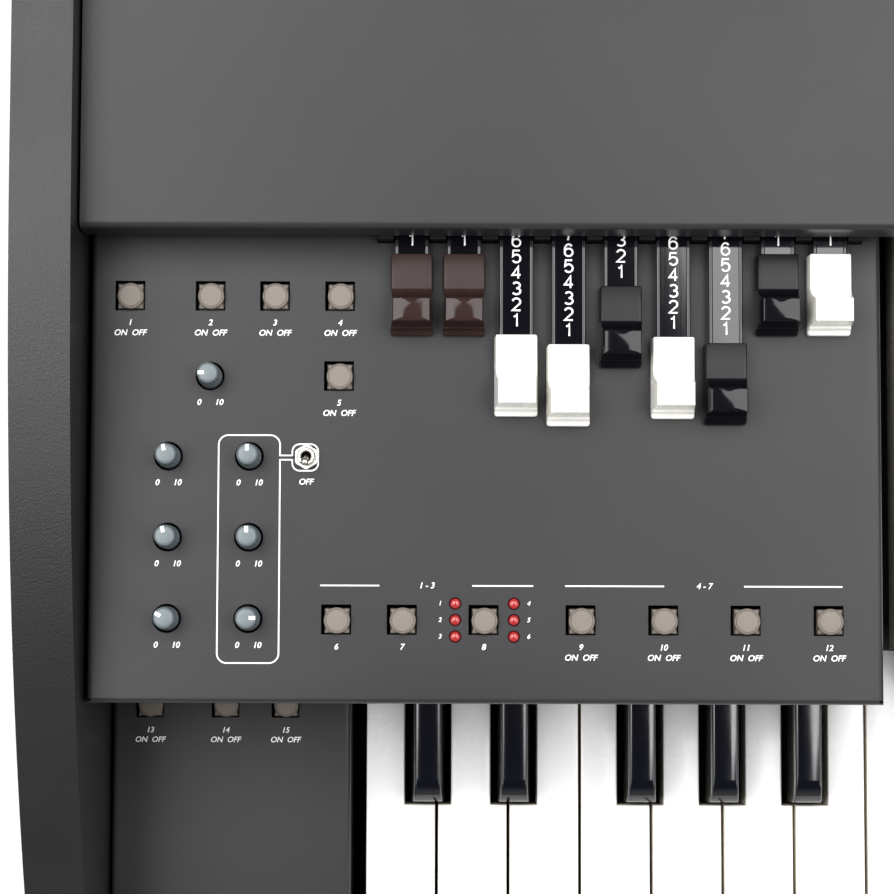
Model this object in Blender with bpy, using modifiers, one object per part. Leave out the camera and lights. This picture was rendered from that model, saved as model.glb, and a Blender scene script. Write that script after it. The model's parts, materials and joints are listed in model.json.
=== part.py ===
"""Table-top two-manual drawbar organ with offset manuals, as separate pieces.

Metres, +X to the player's right, +Y away from the player, +Z up. The origin is the
middle of the base. The upper manual starts one octave to the right of the lower one.
"""
import math

import bmesh
import bpy
from mathutils import Euler, Vector
from mathutils.geometry import interpolate_bezier

# How a flat outline is turned: its X and Y become Y and Z, or X and Z
ALONG_X = (math.pi / 2, 0, math.pi / 2)
ALONG_Y = (math.pi / 2, 0, 0)
OUTLINE_TO_SIDE = Euler(ALONG_X).to_matrix().to_4x4()

# Overall body
WIDTH = 0.969
DEPTH = 0.400
HEIGHT = 0.188
CHEEK_THICKNESS = 0.018
GAP = 0.0003
SIDE_GAP = 0.0006
LEFT = -WIDTH / 2
FRONT = -DEPTH / 2
REAR = DEPTH / 2

# Feet and bottom board
FOOT_HEIGHT = 0.0077
FOOT_DEPTH = 0.020
FOOT_INSET = 0.030
FOOT_LENGTH = 0.880
FOOT_ROUND = 0.0015
BOARD_BOTTOM = 0.008
BOARD_TOP = 0.020
BOARD_INSET = 0.0055

# Cheek outline as (y, z): level at the back, a fall past the panel, a drop to the round nose
CHEEK_CORNER = 0.006
CHEEK_ROUND = 0.0022
CHEEK_CURVE_POINTS = 10
CHEEK_FALL = ((0.080, HEIGHT), (0.010, HEIGHT), (-0.049, 0.1795), (-0.104, 0.1575))
CHEEK_DROP = (CHEEK_FALL[-1], (-0.149, 0.1395), (FRONT, 0.112), (FRONT, 0.085))

# Keys
OCTAVE = 0.1645
NATURAL_PITCH = OCTAVE / 7
NATURALS = 29
KEY_GAP = 0.0010
KEY_HEIGHT = 0.018
KEY_REACH = 0.204
KEY_PIVOT_FROM_FRONT = 0.196
NATURAL_HEAD = 0.050
SHARP_NOTCH = 0.0152
SHARP_WIDTH = 0.0106
SHARP_TOP_WIDTH = 0.0086
SHARP_RISE = 0.011
SHARP_SINK = 0.008
SHARP_FRONT_GAP = 0.0012
SHARP_FRONT_SLOPE = 0.006
SHARP_FRONT_DROP = 0.004
SHARP_REAR_DROP = 0.001
SHARP_CENTRES = (0.0206, 0.0488, 0.0904, 0.1174, 0.1445)
SHARP_AFTER = (0, 1, 3, 4, 5)
KEY_CORNER = 0.0009
LOWER_KEYS_X = LEFT + 0.1006
UPPER_KEYS_X = LOWER_KEYS_X + OCTAVE
LOWER_KEYS_FRONT = -0.174
UPPER_KEYS_FRONT = -0.073
LOWER_KEYS_TOP = 0.067
UPPER_KEYS_TOP = 0.133
NOTE_NAMES = ("c", "d", "e", "f", "g", "a", "b")
BAR_INSET = 0.002
BAR_DEPTH = 0.006
BAR_OVERLAP = 0.003

# Upper control panel
PANEL_LEFT = LEFT + 0.0195
PANEL_RIGHT = LEFT + 0.2583
PANEL_FRONT = -0.090
PANEL_REAR = 0.049
PANEL_TOP = 0.150
PANEL_THICKNESS = 0.0015
PANEL_BEND = 0.0016

# Lower side panels, left and right of the lower keys
LOWER_PANEL_LEFT = LEFT + 0.0188
LOWER_PANEL_RIGHT = LEFT + 0.0962
END_PANEL_LEFT = LEFT + 0.7866
END_PANEL_RIGHT = -LEFT - 0.0188
LOWER_PANEL_FRONT = -0.176
LOWER_PANEL_REAR = -0.050
LOWER_PANEL_TOP = 0.078

# Frames, shelf and front rail
SHELF_TOP = 0.098
SHELF_THICKNESS = 0.010
SHELF_FRONT = -0.088
SHELF_LIP_TOP = 0.104
SHELF_LIP_DEPTH = 0.008
PIVOT_HALF = 0.002
WALL_FRONT = 0.060
WALL_REAR = 0.072
FRAME_THICKNESS = 0.006
FRAME_INSET = 0.004
FRAME_BEHIND_PIVOT = 0.020
STOP_TOP = 0.035
STOP_DEPTH = 0.014
RAIL_FRONT = -0.198
RAIL_REAR = -0.1785
RAIL_TOP = 0.058
RAIL_ROUND = 0.003

# Rear cover
COVER_TOP = 0.174
COVER_FRONT = 0.0498
COVER_REAR = 0.1975
COVER_THICKNESS = 0.0018
COVER_SIDE_GAP = 0.0008
COVER_BENDS = (0.0022, 0.0020, 0.0080)
LIP_BOTTOM = 0.158
LIP_HEM = 0.006
COVER_BOTTOM = 0.0085
INLET_X = -0.300
INLET_Z = 0.055
INLET_WIDTH = 0.027
INLET_HEIGHT = 0.0195
INLET_DEPTH = 0.015
INLET_WALL = 0.002
INLET_BEZEL = 0.0015

# Drawbars: each pull is how far that drawbar stands out in the photo
DRAWBAR_FIRST_X = LEFT + 0.11645
DRAWBAR_PITCH = 0.01574
DRAWBAR_HOME_Y = 0.0452
DRAWBAR_PULLS = (0.0003, 0.0003, 0.0247, 0.0276, 0.0099, 0.0253, 0.0271, 0.0001, 0.0)
DRAWBAR_TONES = ("brown", "brown", "white", "white", "black", "white", "black", "black", "white")
BAR_WIDTH = 0.0102
BAR_BOTTOM = 0.0020
BAR_TOP = 0.0058
BAR_LENGTH = 0.102
BAR_UNDER_KNOB = 0.004

# Drawbar knob: (distance in front of its rear edge, height over the panel), a low block
# behind, a ramp up to the finger grip, the grip, its front wall, a step and a flange
KNOB_WIDTH = 0.0131
KNOB_TAPER = 0.064
KNOB_BOTTOM = 0.0005
KNOB_CORNER = 0.0004
KNOB_OUTLINE = (
    (0.0, KNOB_BOTTOM),
    (0.0, 0.0068),
    (0.01035, 0.0068),
    (0.0119, 0.0077),
    (0.0131, 0.0098),
    (0.0140, 0.0125),
    (0.0146, 0.0153),
    (0.0203, 0.0155),
    (0.0212, 0.0151),
    (0.0217, 0.0054),
    (0.0225, 0.0049),
    (0.0228, 0.0032),
    (0.0243, 0.0026),
    (0.0243, KNOB_BOTTOM),
)
GUIDE_FRONT = PANEL_REAR + GAP
GUIDE_REAR = 0.1000
GUIDE_CHANNEL = 0.0110
GUIDE_FLOOR = 0.0015
GUIDE_TEETH_TOP = 0.0065
GUIDE_SIDE = 0.0101

# Controls: places are measured from the left edge and from the panel's front edge
CUTOUT = 0.0090
HOLE_DEPTH = 0.010
BUTTON_BASE = 0.0074
BUTTON_CAP_RADIUS = 0.00405
BUTTON_SEGMENTS = 12
BUTTON_SHIFT = 0.0003
BUTTON_BASE_BOTTOM = -0.0060
BUTTON_BASE_TOP = 0.0008
BUTTON_CAP_BOTTOM = 0.0004
BUTTON_CAP_TOP = 0.0025
BUTTON_CAP_EDGE = 0.0004
TOP_ROW_Y = 0.1226
SECOND_ROW_Y = 0.0983
FRONT_ROW_Y = 0.0249
BUTTONS = {
    "upper_octave_button": (0.0315, TOP_ROW_Y),
    "upper_preset_a_button": (0.0558, TOP_ROW_Y),
    "upper_preset_b_button": (0.0753, TOP_ROW_Y),
    "manual_upper_button": (0.0950, TOP_ROW_Y),
    "manual_lower_button": (0.0948, SECOND_ROW_Y),
    "vibrato_upper_button": (0.0944, FRONT_ROW_Y),
    "vibrato_lower_button": (0.1141, FRONT_ROW_Y),
    "vibrato_type_button": (0.1386, FRONT_ROW_Y),
    "percussion_on_button": (0.1677, FRONT_ROW_Y),
    "percussion_soft_button": (0.1925, FRONT_ROW_Y),
    "percussion_fast_button": (0.2172, FRONT_ROW_Y),
    "percussion_decay_button": (0.2421, FRONT_ROW_Y),
}
LOWER_BUTTON_Y = -0.0013
LOWER_BUTTONS = {
    "lower_octave_button": (0.0312, LOWER_BUTTON_Y),
    "lower_preset_a_button": (0.0557, LOWER_BUTTON_Y),
    "lower_preset_b_button": (0.0752, LOWER_BUTTON_Y),
}
KNOB_COLUMN_A = 0.04325
KNOB_COLUMN_B = 0.06765
KNOB_ROWS = (0.0741, 0.0497, 0.0253)
KNOBS = {
    "volume_knob": (0.0556, 0.0984),
    "click_knob": (KNOB_COLUMN_A, KNOB_ROWS[0]),
    "percussion_volume_knob": (KNOB_COLUMN_A, KNOB_ROWS[1]),
    "assignable_knob": (KNOB_COLUMN_A, KNOB_ROWS[2]),
    "level_knob": (KNOB_COLUMN_B, KNOB_ROWS[0]),
    "overdrive_knob": (KNOB_COLUMN_B, KNOB_ROWS[1]),
    "tone_knob": (KNOB_COLUMN_B, KNOB_ROWS[2]),
}
KNOB_SEGMENTS = 16
SHAFT_RADIUS = 0.0013
SHAFT_HOLE = 0.0019
KNOB_PROFILE = (
    (0.0, 0.0118),
    (0.0028, 0.0118),
    (0.0032, 0.0113),
    (0.0038, 0.0028),
    (0.0043, 0.0026),
    (0.0043, GAP),
    (SHAFT_RADIUS, GAP),
    (SHAFT_RADIUS, -0.0090),
    (0.0, -0.0090),
)
TOGGLE = (0.0849, 0.0739)
TOGGLE_NUT_RADIUS = 0.0040
TOGGLE_NUT_TOP = 0.0023
TOGGLE_BUSH_RADIUS = 0.0027
TOGGLE_BUSH_TOP = 0.0040
TOGGLE_BUSH_BOTTOM = -0.0080
TOGGLE_BORE = 0.0018
TOGGLE_HOLE = 0.0031
TOGGLE_PIVOT = 0.0005
TOGGLE_SEGMENTS = 12
TOGGLE_TILT = math.radians(12)
LEVER_PROFILE = (
    (0.0, 0.0112),
    (0.0008, 0.0109),
    (0.0012, 0.0100),
    (0.00075, 0.0035),
    (0.0007, -0.0020),
    (0.0, -0.0020),
)
LED_RADIUS = 0.0018
LED_COLUMNS = (0.1298, 0.1474)
LED_ROWS = (0.0300, 0.02505, 0.0201)
HOLE_SEGMENTS = 10

# Colour, roughness and metallic value of each finish
FINISHES = {
    "cheek_paint": ((0.060, 0.060, 0.064), 0.55, 0.0),
    "cover_paint": ((0.105, 0.103, 0.105), 0.40, 0.0),
    "panel_paint": ((0.095, 0.092, 0.095), 0.42, 0.0),
    "frame_black": ((0.020, 0.020, 0.022), 0.60, 0.0),
    "board": ((0.020, 0.020, 0.022), 0.75, 0.0),
    "rubber": ((0.015, 0.015, 0.015), 0.85, 0.0),
    "key_white": ((0.86, 0.86, 0.84), 0.25, 0.0),
    "key_black": ((0.008, 0.008, 0.010), 0.15, 0.0),
    "knob_grey": ((0.27, 0.32, 0.34), 0.38, 0.0),
    "button_grey": ((0.44, 0.40, 0.36), 0.45, 0.0),
    "chrome": ((0.80, 0.80, 0.78), 0.15, 1.0),
    "brown": ((0.075, 0.048, 0.042), 0.30, 0.0),
    "white": ((0.88, 0.86, 0.79), 0.22, 0.0),
    "black": ((0.012, 0.012, 0.014), 0.15, 0.0),
}


def clear_scene():
    """Remove every object that the new file starts with."""
    for item in list(bpy.data.objects):
        bpy.data.objects.remove(item, do_unlink=True)


def make_collection(name):
    """Add a collection to the scene and return it."""
    group = bpy.data.collections.new(name)
    bpy.context.scene.collection.children.link(group)
    return group


def finish_material(node, finish):
    """Make the node's own Principled material."""
    colour, roughness, metallic = FINISHES[finish]
    material = bpy.data.materials.new(node + "_" + finish)
    material.use_nodes = True
    shader = material.node_tree.nodes["Principled BSDF"]
    shader.inputs["Base Color"].default_value = (*colour, 1.0)
    shader.inputs["Roughness"].default_value = roughness
    shader.inputs["Metallic"].default_value = metallic
    return material


def add_part(name, mesh, finish, location=(0, 0, 0), rotation=(0, 0, 0)):
    """Put a mesh in the scene as one sub-part with its own material."""
    part = bpy.data.objects.new(name, mesh)
    part.location = location
    part.rotation_euler = rotation
    PARTS.objects.link(part)
    if not mesh.materials:
        mesh.materials.append(None)
    part.material_slots[0].link = "OBJECT"
    part.material_slots[0].material = finish_material(name, finish)
    return part


def add_cutter(name, mesh, location=(0, 0, 0), rotation=(0, 0, 0)):
    """Put a mesh in the scene as a hidden cutting or joining tool."""
    tool = bpy.data.objects.new(name, mesh)
    tool.location = location
    tool.rotation_euler = rotation
    tool.hide_render = True
    tool.display_type = "WIRE"
    CUTTERS.objects.link(tool)
    return tool


def boolean(part, tool, operation):
    """Join a tool to a part, or cut it out."""
    step = part.modifiers.new(operation.lower(), "BOOLEAN")
    step.operation = operation
    step.solver = "EXACT"
    step.object = tool


def bevel(part, width, segments=2, angle=30):
    """Round the part's sharp edges."""
    step = part.modifiers.new("rounded_edges", "BEVEL")
    step.width = width
    step.segments = segments
    step.limit_method = "ANGLE"
    step.angle_limit = math.radians(angle)


def baked_mesh(part):
    """Return the evaluated mesh of an object, and remove the object."""
    bpy.context.view_layer.update()
    graph = bpy.context.evaluated_depsgraph_get()
    mesh = bpy.data.meshes.new_from_object(part.evaluated_get(graph))
    mesh.name = part.name
    bpy.data.objects.remove(part, do_unlink=True)
    return mesh


def box_mesh(name, low, high):
    """Return a box between two corners."""
    shape = bmesh.new()
    bmesh.ops.create_cube(shape, size=1.0)
    low, high = Vector(low), Vector(high)
    bmesh.ops.scale(shape, vec=high - low, verts=shape.verts)
    bmesh.ops.translate(shape, vec=(low + high) / 2, verts=shape.verts)
    mesh = bpy.data.meshes.new(name)
    shape.to_mesh(mesh)
    shape.free()
    return mesh


def outline_mesh(name, loops, thickness):
    """Extrude closed outlines, the first the outer edge and the rest holes, about local XY."""
    curve = bpy.data.curves.new(name, "CURVE")
    curve.dimensions = "2D"
    curve.fill_mode = "BOTH"
    curve.extrude = thickness / 2
    for loop in loops:
        spline = curve.splines.new("POLY")
        spline.points.add(len(loop) - 1)
        for point, (x, y) in zip(spline.points, loop):
            point.co = (x, y, 0, 1)
        spline.use_cyclic_u = True
    holder = bpy.data.objects.new(name, curve)
    CUTTERS.objects.link(holder)
    mesh = baked_mesh(holder)
    shape = bmesh.new()
    shape.from_mesh(mesh)
    bmesh.ops.remove_doubles(shape, verts=shape.verts, dist=1e-6)
    bmesh.ops.recalc_face_normals(shape, faces=shape.faces)
    shape.to_mesh(mesh)
    shape.free()
    return mesh


def turned_mesh(name, profile, segments):
    """Turn a profile of (radius, height) points, top to bottom, about the Z axis."""
    mesh = bpy.data.meshes.new(name)
    closed = profile[0] == profile[-1]
    points = [(radius, 0, height) for radius, height in (profile[:-1] if closed else profile)]
    edges = [(i, i + 1) for i in range(len(points) - 1)]
    if closed:
        edges.append((len(points) - 1, 0))
    mesh.from_pydata(points, edges, [])
    holder = bpy.data.objects.new(name, mesh)
    CUTTERS.objects.link(holder)
    screw = holder.modifiers.new("turn", "SCREW")
    screw.steps = segments
    screw.render_steps = segments
    screw.use_merge_vertices = True
    screw.merge_threshold = 0.00001
    return baked_mesh(holder)


def sheet_mesh(name, path, width):
    """Extrude a path of (y, z) points along +X into an open strip."""
    shape = bmesh.new()
    verts = [shape.verts.new((0, y, z)) for y, z in path]
    edges = [shape.edges.new(pair) for pair in zip(verts, verts[1:])]
    made = bmesh.ops.extrude_edge_only(shape, edges=edges)
    moved = [item for item in made["geom"] if isinstance(item, bmesh.types.BMVert)]
    bmesh.ops.translate(shape, vec=(width, 0, 0), verts=moved)
    shape.normal_update()
    highest = max(shape.faces, key=lambda face: face.calc_center_median().z)
    if highest.normal.z < 0:
        bmesh.ops.reverse_faces(shape, faces=shape.faces)
    mesh = bpy.data.meshes.new(name)
    shape.to_mesh(mesh)
    shape.free()
    return mesh


def rounded_path(points, radii, steps=4):
    """Replace each inner corner of an open path by a bend of its radius."""
    path = [points[0]]
    for before, corner, after, radius in zip(points, points[1:], points[2:], radii):
        here = Vector(corner)
        to_before = (Vector(before) - here).normalized() * radius
        to_after = (Vector(after) - here).normalized() * radius
        for i in range(steps + 1):
            turn = i / steps * math.pi / 2
            point = here + to_before * (1 - math.sin(turn)) + to_after * (1 - math.cos(turn))
            path.append(tuple(point))
    path.append(points[-1])
    return path


def circle(x, y, radius, segments=HOLE_SEGMENTS):
    """Return the points of a round hole."""
    turns = [2 * math.pi * i / segments for i in range(segments)]
    return [(x + radius * math.cos(a), y + radius * math.sin(a)) for a in turns]


def square(x, y, side):
    """Return the corners of a square hole."""
    half = side / 2
    return [(x - half, y - half), (x + half, y - half), (x + half, y + half), (x - half, y + half)]


def on_panel(place):
    """Turn a place on the panels into world X and Y."""
    return LEFT + place[0], PANEL_FRONT + place[1]


def hole_cutter(name, loops, top):
    """Return one cutter for all the holes of a panel."""
    shape = bmesh.new()
    for number, loop in enumerate(loops):
        plug = outline_mesh(name + str(number), [loop], HOLE_DEPTH)
        shape.from_mesh(plug)
        bpy.data.meshes.remove(plug)
    mesh = bpy.data.meshes.new(name)
    shape.to_mesh(mesh)
    shape.free()
    return add_cutter(name, mesh, location=(0, 0, top))


def folded_panel(name, low, high, holes):
    """Make a sheet-metal cover with a top, a front and two sides, and cut its holes."""
    shape = bmesh.new()
    bmesh.ops.create_cube(shape, size=1.0)
    low, high = Vector(low), Vector(high)
    bmesh.ops.scale(shape, vec=high - low, verts=shape.verts)
    bmesh.ops.translate(shape, vec=(low + high) / 2, verts=shape.verts)
    open_faces = [face for face in shape.faces if face.normal.z < -0.5 or face.normal.y > 0.5]
    bmesh.ops.delete(shape, geom=open_faces, context="FACES")
    mesh = bpy.data.meshes.new(name)
    shape.to_mesh(mesh)
    shape.free()
    panel = add_part(name, mesh, "panel_paint")
    bevel(panel, PANEL_BEND)
    sheet = panel.modifiers.new("sheet", "SOLIDIFY")
    sheet.thickness = PANEL_THICKNESS
    sheet.offset = -1
    if holes:
        boolean(panel, hole_cutter(name + "_holes", holes, high.z), "DIFFERENCE")
    return panel


def make_cheek(name, x_middle):
    """Make one side cheek: level at the back, falling in a curve to a round nose in front."""
    fall = interpolate_bezier(*[Vector(point) for point in CHEEK_FALL], CHEEK_CURVE_POINTS)
    drop = interpolate_bezier(*[Vector(point) for point in CHEEK_DROP], CHEEK_CURVE_POINTS)
    corner = CHEEK_CORNER
    points = [(REAR - corner, HEIGHT)]
    points += [tuple(point) for point in fall]
    points += [tuple(point) for point in drop[1:]]
    points += [(FRONT, BOARD_BOTTOM + corner), (FRONT + corner, BOARD_BOTTOM)]
    points += [(REAR - corner, BOARD_BOTTOM), (REAR, BOARD_BOTTOM + corner)]
    points += [(REAR, HEIGHT - corner)]
    mesh = outline_mesh(name, [points], CHEEK_THICKNESS)
    cheek = add_part(name, mesh, "cheek_paint", (x_middle, 0, 0), ALONG_X)
    bevel(cheek, CHEEK_ROUND, segments=2, angle=60)
    return cheek


def make_body():
    """Make the board, the feet, the cheeks and the front rail."""
    inner = -LEFT - CHEEK_THICKNESS - GAP
    board = box_mesh(
        "bottom_board",
        (-inner, FRONT + BOARD_INSET, BOARD_BOTTOM),
        (inner, REAR - BOARD_INSET, BOARD_TOP),
    )
    add_part("bottom_board", board, "board")
    for name, side in (("front_foot_strip", -1), ("rear_foot_strip", 1)):
        middle = side * (REAR - FOOT_INSET)
        low = (-FOOT_LENGTH / 2, middle - FOOT_DEPTH / 2, 0)
        high = (FOOT_LENGTH / 2, middle + FOOT_DEPTH / 2, FOOT_HEIGHT)
        strip = add_part(name, box_mesh(name, low, high), "rubber")
        bevel(strip, FOOT_ROUND, segments=1)
    make_cheek("left_cheek", LEFT + CHEEK_THICKNESS / 2)
    make_cheek("right_cheek", -LEFT - CHEEK_THICKNESS / 2)
    rail_inner = inner - GAP
    rail = box_mesh(
        "front_rail",
        (-rail_inner, RAIL_FRONT, BOARD_TOP + GAP),
        (rail_inner, RAIL_REAR, RAIL_TOP),
    )
    bevel(add_part("front_rail", rail, "panel_paint"), RAIL_ROUND, segments=3)


def make_frames():
    """Make the lower key frame and the shelf that carries the upper manual and its panel."""
    floor = BOARD_TOP + GAP
    pivot = LOWER_KEYS_FRONT + KEY_PIVOT_FROM_FRONT
    front = LOWER_KEYS_FRONT + FRAME_INSET
    rear = pivot + FRAME_BEHIND_PIVOT
    pivot_top = LOWER_KEYS_TOP - KEY_HEIGHT - GAP
    deck = floor + FRAME_THICKNESS
    stop = front + STOP_DEPTH
    lower = [
        (front, floor), (rear, floor), (rear, deck), (pivot + PIVOT_HALF, deck),
        (pivot + PIVOT_HALF, pivot_top), (pivot - PIVOT_HALF, pivot_top),
        (pivot - PIVOT_HALF, deck), (stop, deck), (stop, STOP_TOP), (front, STOP_TOP),
    ]
    keys_width = NATURALS * NATURAL_PITCH
    lower_mesh = outline_mesh("lower_key_frame", [lower], keys_width + 2 * KEY_GAP)
    lower_x = LOWER_KEYS_X + keys_width / 2
    add_part("lower_key_frame", lower_mesh, "frame_black", (lower_x, 0, 0), ALONG_X)
    pivot = UPPER_KEYS_FRONT + KEY_PIVOT_FROM_FRONT
    pivot_top = UPPER_KEYS_TOP - KEY_HEIGHT - GAP
    under = SHELF_TOP - SHELF_THICKNESS
    lip = SHELF_FRONT + SHELF_LIP_DEPTH
    rear = pivot + FRAME_BEHIND_PIVOT
    shelf = [
        (SHELF_FRONT, under), (WALL_FRONT, under), (WALL_FRONT, floor), (WALL_REAR, floor),
        (WALL_REAR, under), (rear, under), (rear, SHELF_TOP), (pivot + PIVOT_HALF, SHELF_TOP),
        (pivot + PIVOT_HALF, pivot_top), (pivot - PIVOT_HALF, pivot_top),
        (pivot - PIVOT_HALF, SHELF_TOP), (lip, SHELF_TOP), (lip, SHELF_LIP_TOP),
        (SHELF_FRONT, SHELF_LIP_TOP),
    ]
    inner = -LEFT - CHEEK_THICKNESS - SIDE_GAP
    frame_mesh = outline_mesh("upper_key_frame", [shelf], 2 * inner)
    add_part("upper_key_frame", frame_mesh, "frame_black", (0, 0, 0), ALONG_X)


def inlet_box(wall, proud):
    """Return the inlet's pocket grown by a wall, its open end standing proud of the cover."""
    wide = INLET_WIDTH / 2 + wall
    tall = INLET_HEIGHT / 2 + wall
    low = (INLET_X - wide, COVER_REAR - INLET_DEPTH - wall, INLET_Z - tall)
    high = (INLET_X + wide, COVER_REAR + proud, INLET_Z + tall)
    return box_mesh("inlet", low, high)


def make_cover():
    """Make the folded rear cover: a rolled lip, the flat top and the back with its inlet."""
    path = [
        (COVER_FRONT + LIP_HEM, LIP_BOTTOM), (COVER_FRONT, LIP_BOTTOM), (COVER_FRONT, COVER_TOP),
        (COVER_REAR, COVER_TOP), (COVER_REAR, COVER_BOTTOM),
    ]
    bent = rounded_path(path, COVER_BENDS)
    inner = -LEFT - CHEEK_THICKNESS - COVER_SIDE_GAP
    mesh = sheet_mesh("rear_cover", bent, 2 * inner)
    cover = add_part("rear_cover", mesh, "cover_paint", (-inner, 0, 0))
    sheet = cover.modifiers.new("sheet", "SOLIDIFY")
    sheet.thickness = COVER_THICKNESS
    sheet.offset = -1
    boolean(cover, add_cutter("inlet_shell", inlet_box(INLET_WALL, INLET_BEZEL)), "UNION")
    boolean(cover, add_cutter("inlet_pocket", inlet_box(0, HOLE_DEPTH)), "DIFFERENCE")


def make_panels():
    """Make the three folded control and end panels."""
    holes = [square(*on_panel(place), CUTOUT) for place in BUTTONS.values()]
    holes += [circle(*on_panel(place), SHAFT_HOLE) for place in KNOBS.values()]
    holes += [circle(*on_panel((x, y)), LED_RADIUS) for x in LED_COLUMNS for y in LED_ROWS]
    holes.append(circle(*on_panel(TOGGLE), TOGGLE_HOLE))
    folded_panel(
        "upper_control_panel",
        (PANEL_LEFT, PANEL_FRONT, SHELF_LIP_TOP + GAP),
        (PANEL_RIGHT, PANEL_REAR, PANEL_TOP),
        holes,
    )
    folded_panel(
        "lower_control_panel",
        (LOWER_PANEL_LEFT, LOWER_PANEL_FRONT, BOARD_TOP + GAP),
        (LOWER_PANEL_RIGHT, LOWER_PANEL_REAR, LOWER_PANEL_TOP),
        [square(*on_panel(place), CUTOUT) for place in LOWER_BUTTONS.values()],
    )
    folded_panel(
        "right_end_panel",
        (END_PANEL_LEFT, LOWER_PANEL_FRONT, BOARD_TOP + GAP),
        (END_PANEL_RIGHT, LOWER_PANEL_REAR, LOWER_PANEL_TOP),
        [],
    )


def drawbar_x(number):
    """Return the middle of a drawbar, counted from 0 at the left."""
    return DRAWBAR_FIRST_X + number * DRAWBAR_PITCH


def knob_mesh():
    """Return the mesh of a drawbar knob, which narrows towards its top."""
    outline = [(-forward, height) for forward, height in KNOB_OUTLINE]
    mesh = outline_mesh("drawbar_shape", [outline], KNOB_WIDTH)
    for vert in mesh.vertices:
        vert.co.z *= 1 - KNOB_TAPER * 2 / KNOB_WIDTH * (vert.co.y - KNOB_BOTTOM)
    return mesh


def make_drawbars():
    """Make the guide block and the nine drawbars, each pulled out by its own amount."""
    outer_left = drawbar_x(0) - GUIDE_SIDE
    outer_right = drawbar_x(len(DRAWBAR_PULLS) - 1) + GUIDE_SIDE
    teeth = PANEL_TOP + GUIDE_TEETH_TOP
    floor = PANEL_TOP + GUIDE_FLOOR
    outline = [(outer_right, SHELF_TOP + GAP), (outer_right, teeth)]
    for number in reversed(range(len(DRAWBAR_PULLS))):
        right = drawbar_x(number) + GUIDE_CHANNEL / 2
        left = drawbar_x(number) - GUIDE_CHANNEL / 2
        outline += [(right, teeth), (right, floor), (left, floor), (left, teeth)]
    outline += [(outer_left, teeth), (outer_left, SHELF_TOP + GAP)]
    depth = GUIDE_REAR - GUIDE_FRONT
    guide = outline_mesh("drawbar_guide", [outline], depth)
    middle = (GUIDE_FRONT + GUIDE_REAR) / 2
    add_part("drawbar_guide", guide, "board", (0, middle, 0), ALONG_Y)
    shape = add_cutter("drawbar_shape", knob_mesh(), rotation=ALONG_X)
    bevel(shape, KNOB_CORNER, segments=1, angle=60)
    bar = box_mesh(
        "drawbar_bar",
        (-BAR_WIDTH / 2, -BAR_UNDER_KNOB, BAR_BOTTOM),
        (BAR_WIDTH / 2, BAR_LENGTH, BAR_TOP),
    )
    boolean(shape, add_cutter("drawbar_bar", bar), "UNION")
    mesh = baked_mesh(shape)
    mesh.transform(OUTLINE_TO_SIDE)
    for number, (pull, tone) in enumerate(zip(DRAWBAR_PULLS, DRAWBAR_TONES)):
        place = (drawbar_x(number), DRAWBAR_HOME_Y - pull, PANEL_TOP)
        add_part("drawbar_" + str(number + 1), mesh, tone, place)


def make_buttons():
    """Make the push buttons: a square base under a round cap."""
    half = BUTTON_BASE / 2
    base = box_mesh("button_shape", (-half, -half, BUTTON_BASE_BOTTOM), (half, half, BUTTON_BASE_TOP))
    profile = (
        (0.0, BUTTON_CAP_TOP), (BUTTON_CAP_RADIUS - BUTTON_CAP_EDGE, BUTTON_CAP_TOP),
        (BUTTON_CAP_RADIUS, BUTTON_CAP_TOP - BUTTON_CAP_EDGE), (BUTTON_CAP_RADIUS, BUTTON_CAP_BOTTOM),
        (0.0, BUTTON_CAP_BOTTOM),
    )
    shape = add_cutter("button_shape", base)
    cap = add_cutter("button_cap", turned_mesh("button_cap", profile, BUTTON_SEGMENTS))
    boolean(shape, cap, "UNION")
    mesh = baked_mesh(shape)
    for places, top in ((BUTTONS, PANEL_TOP), (LOWER_BUTTONS, LOWER_PANEL_TOP)):
        for name, place in places.items():
            x, y = on_panel(place)
            add_part(name, mesh, "button_grey", (x + BUTTON_SHIFT, y, top))


def make_knobs():
    """Make the seven rotary knobs, each with its shaft through the panel."""
    mesh = turned_mesh("knob_shape", KNOB_PROFILE, KNOB_SEGMENTS)
    for name, place in KNOBS.items():
        x, y = on_panel(place)
        add_part(name, mesh, "knob_grey", (x, y, PANEL_TOP))


def make_toggle():
    """Make the toggle switch's bushing with its nut, and its lever leaning to the front."""
    x, y = on_panel(TOGGLE)
    sleeve = (
        (TOGGLE_BORE, TOGGLE_BUSH_BOTTOM), (TOGGLE_BORE, TOGGLE_BUSH_TOP),
        (TOGGLE_BUSH_RADIUS, TOGGLE_BUSH_TOP), (TOGGLE_BUSH_RADIUS, TOGGLE_BUSH_BOTTOM),
        (TOGGLE_BORE, TOGGLE_BUSH_BOTTOM),
    )
    sleeve_mesh = turned_mesh("toggle_bushing", sleeve, TOGGLE_SEGMENTS)
    bush = add_part("toggle_bushing", sleeve_mesh, "chrome", (x, y, PANEL_TOP))
    turns = [math.radians(30 + 60 * i) for i in range(6)]
    hexagon = [(TOGGLE_NUT_RADIUS * math.cos(a), TOGGLE_NUT_RADIUS * math.sin(a)) for a in turns]
    bore = circle(0, 0, (TOGGLE_BORE + TOGGLE_BUSH_RADIUS) / 2, TOGGLE_SEGMENTS)
    nut_mesh = outline_mesh("toggle_nut", [hexagon, bore], TOGGLE_NUT_TOP - GAP)
    nut = add_cutter("toggle_nut", nut_mesh, (x, y, PANEL_TOP + (TOGGLE_NUT_TOP + GAP) / 2))
    boolean(bush, nut, "UNION")
    lever = turned_mesh("toggle_lever", LEVER_PROFILE, TOGGLE_SEGMENTS)
    pivot = (x, y, PANEL_TOP + TOGGLE_PIVOT)
    add_part("toggle_lever", lever, "chrome", pivot, (TOGGLE_TILT, 0, 0))


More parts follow.
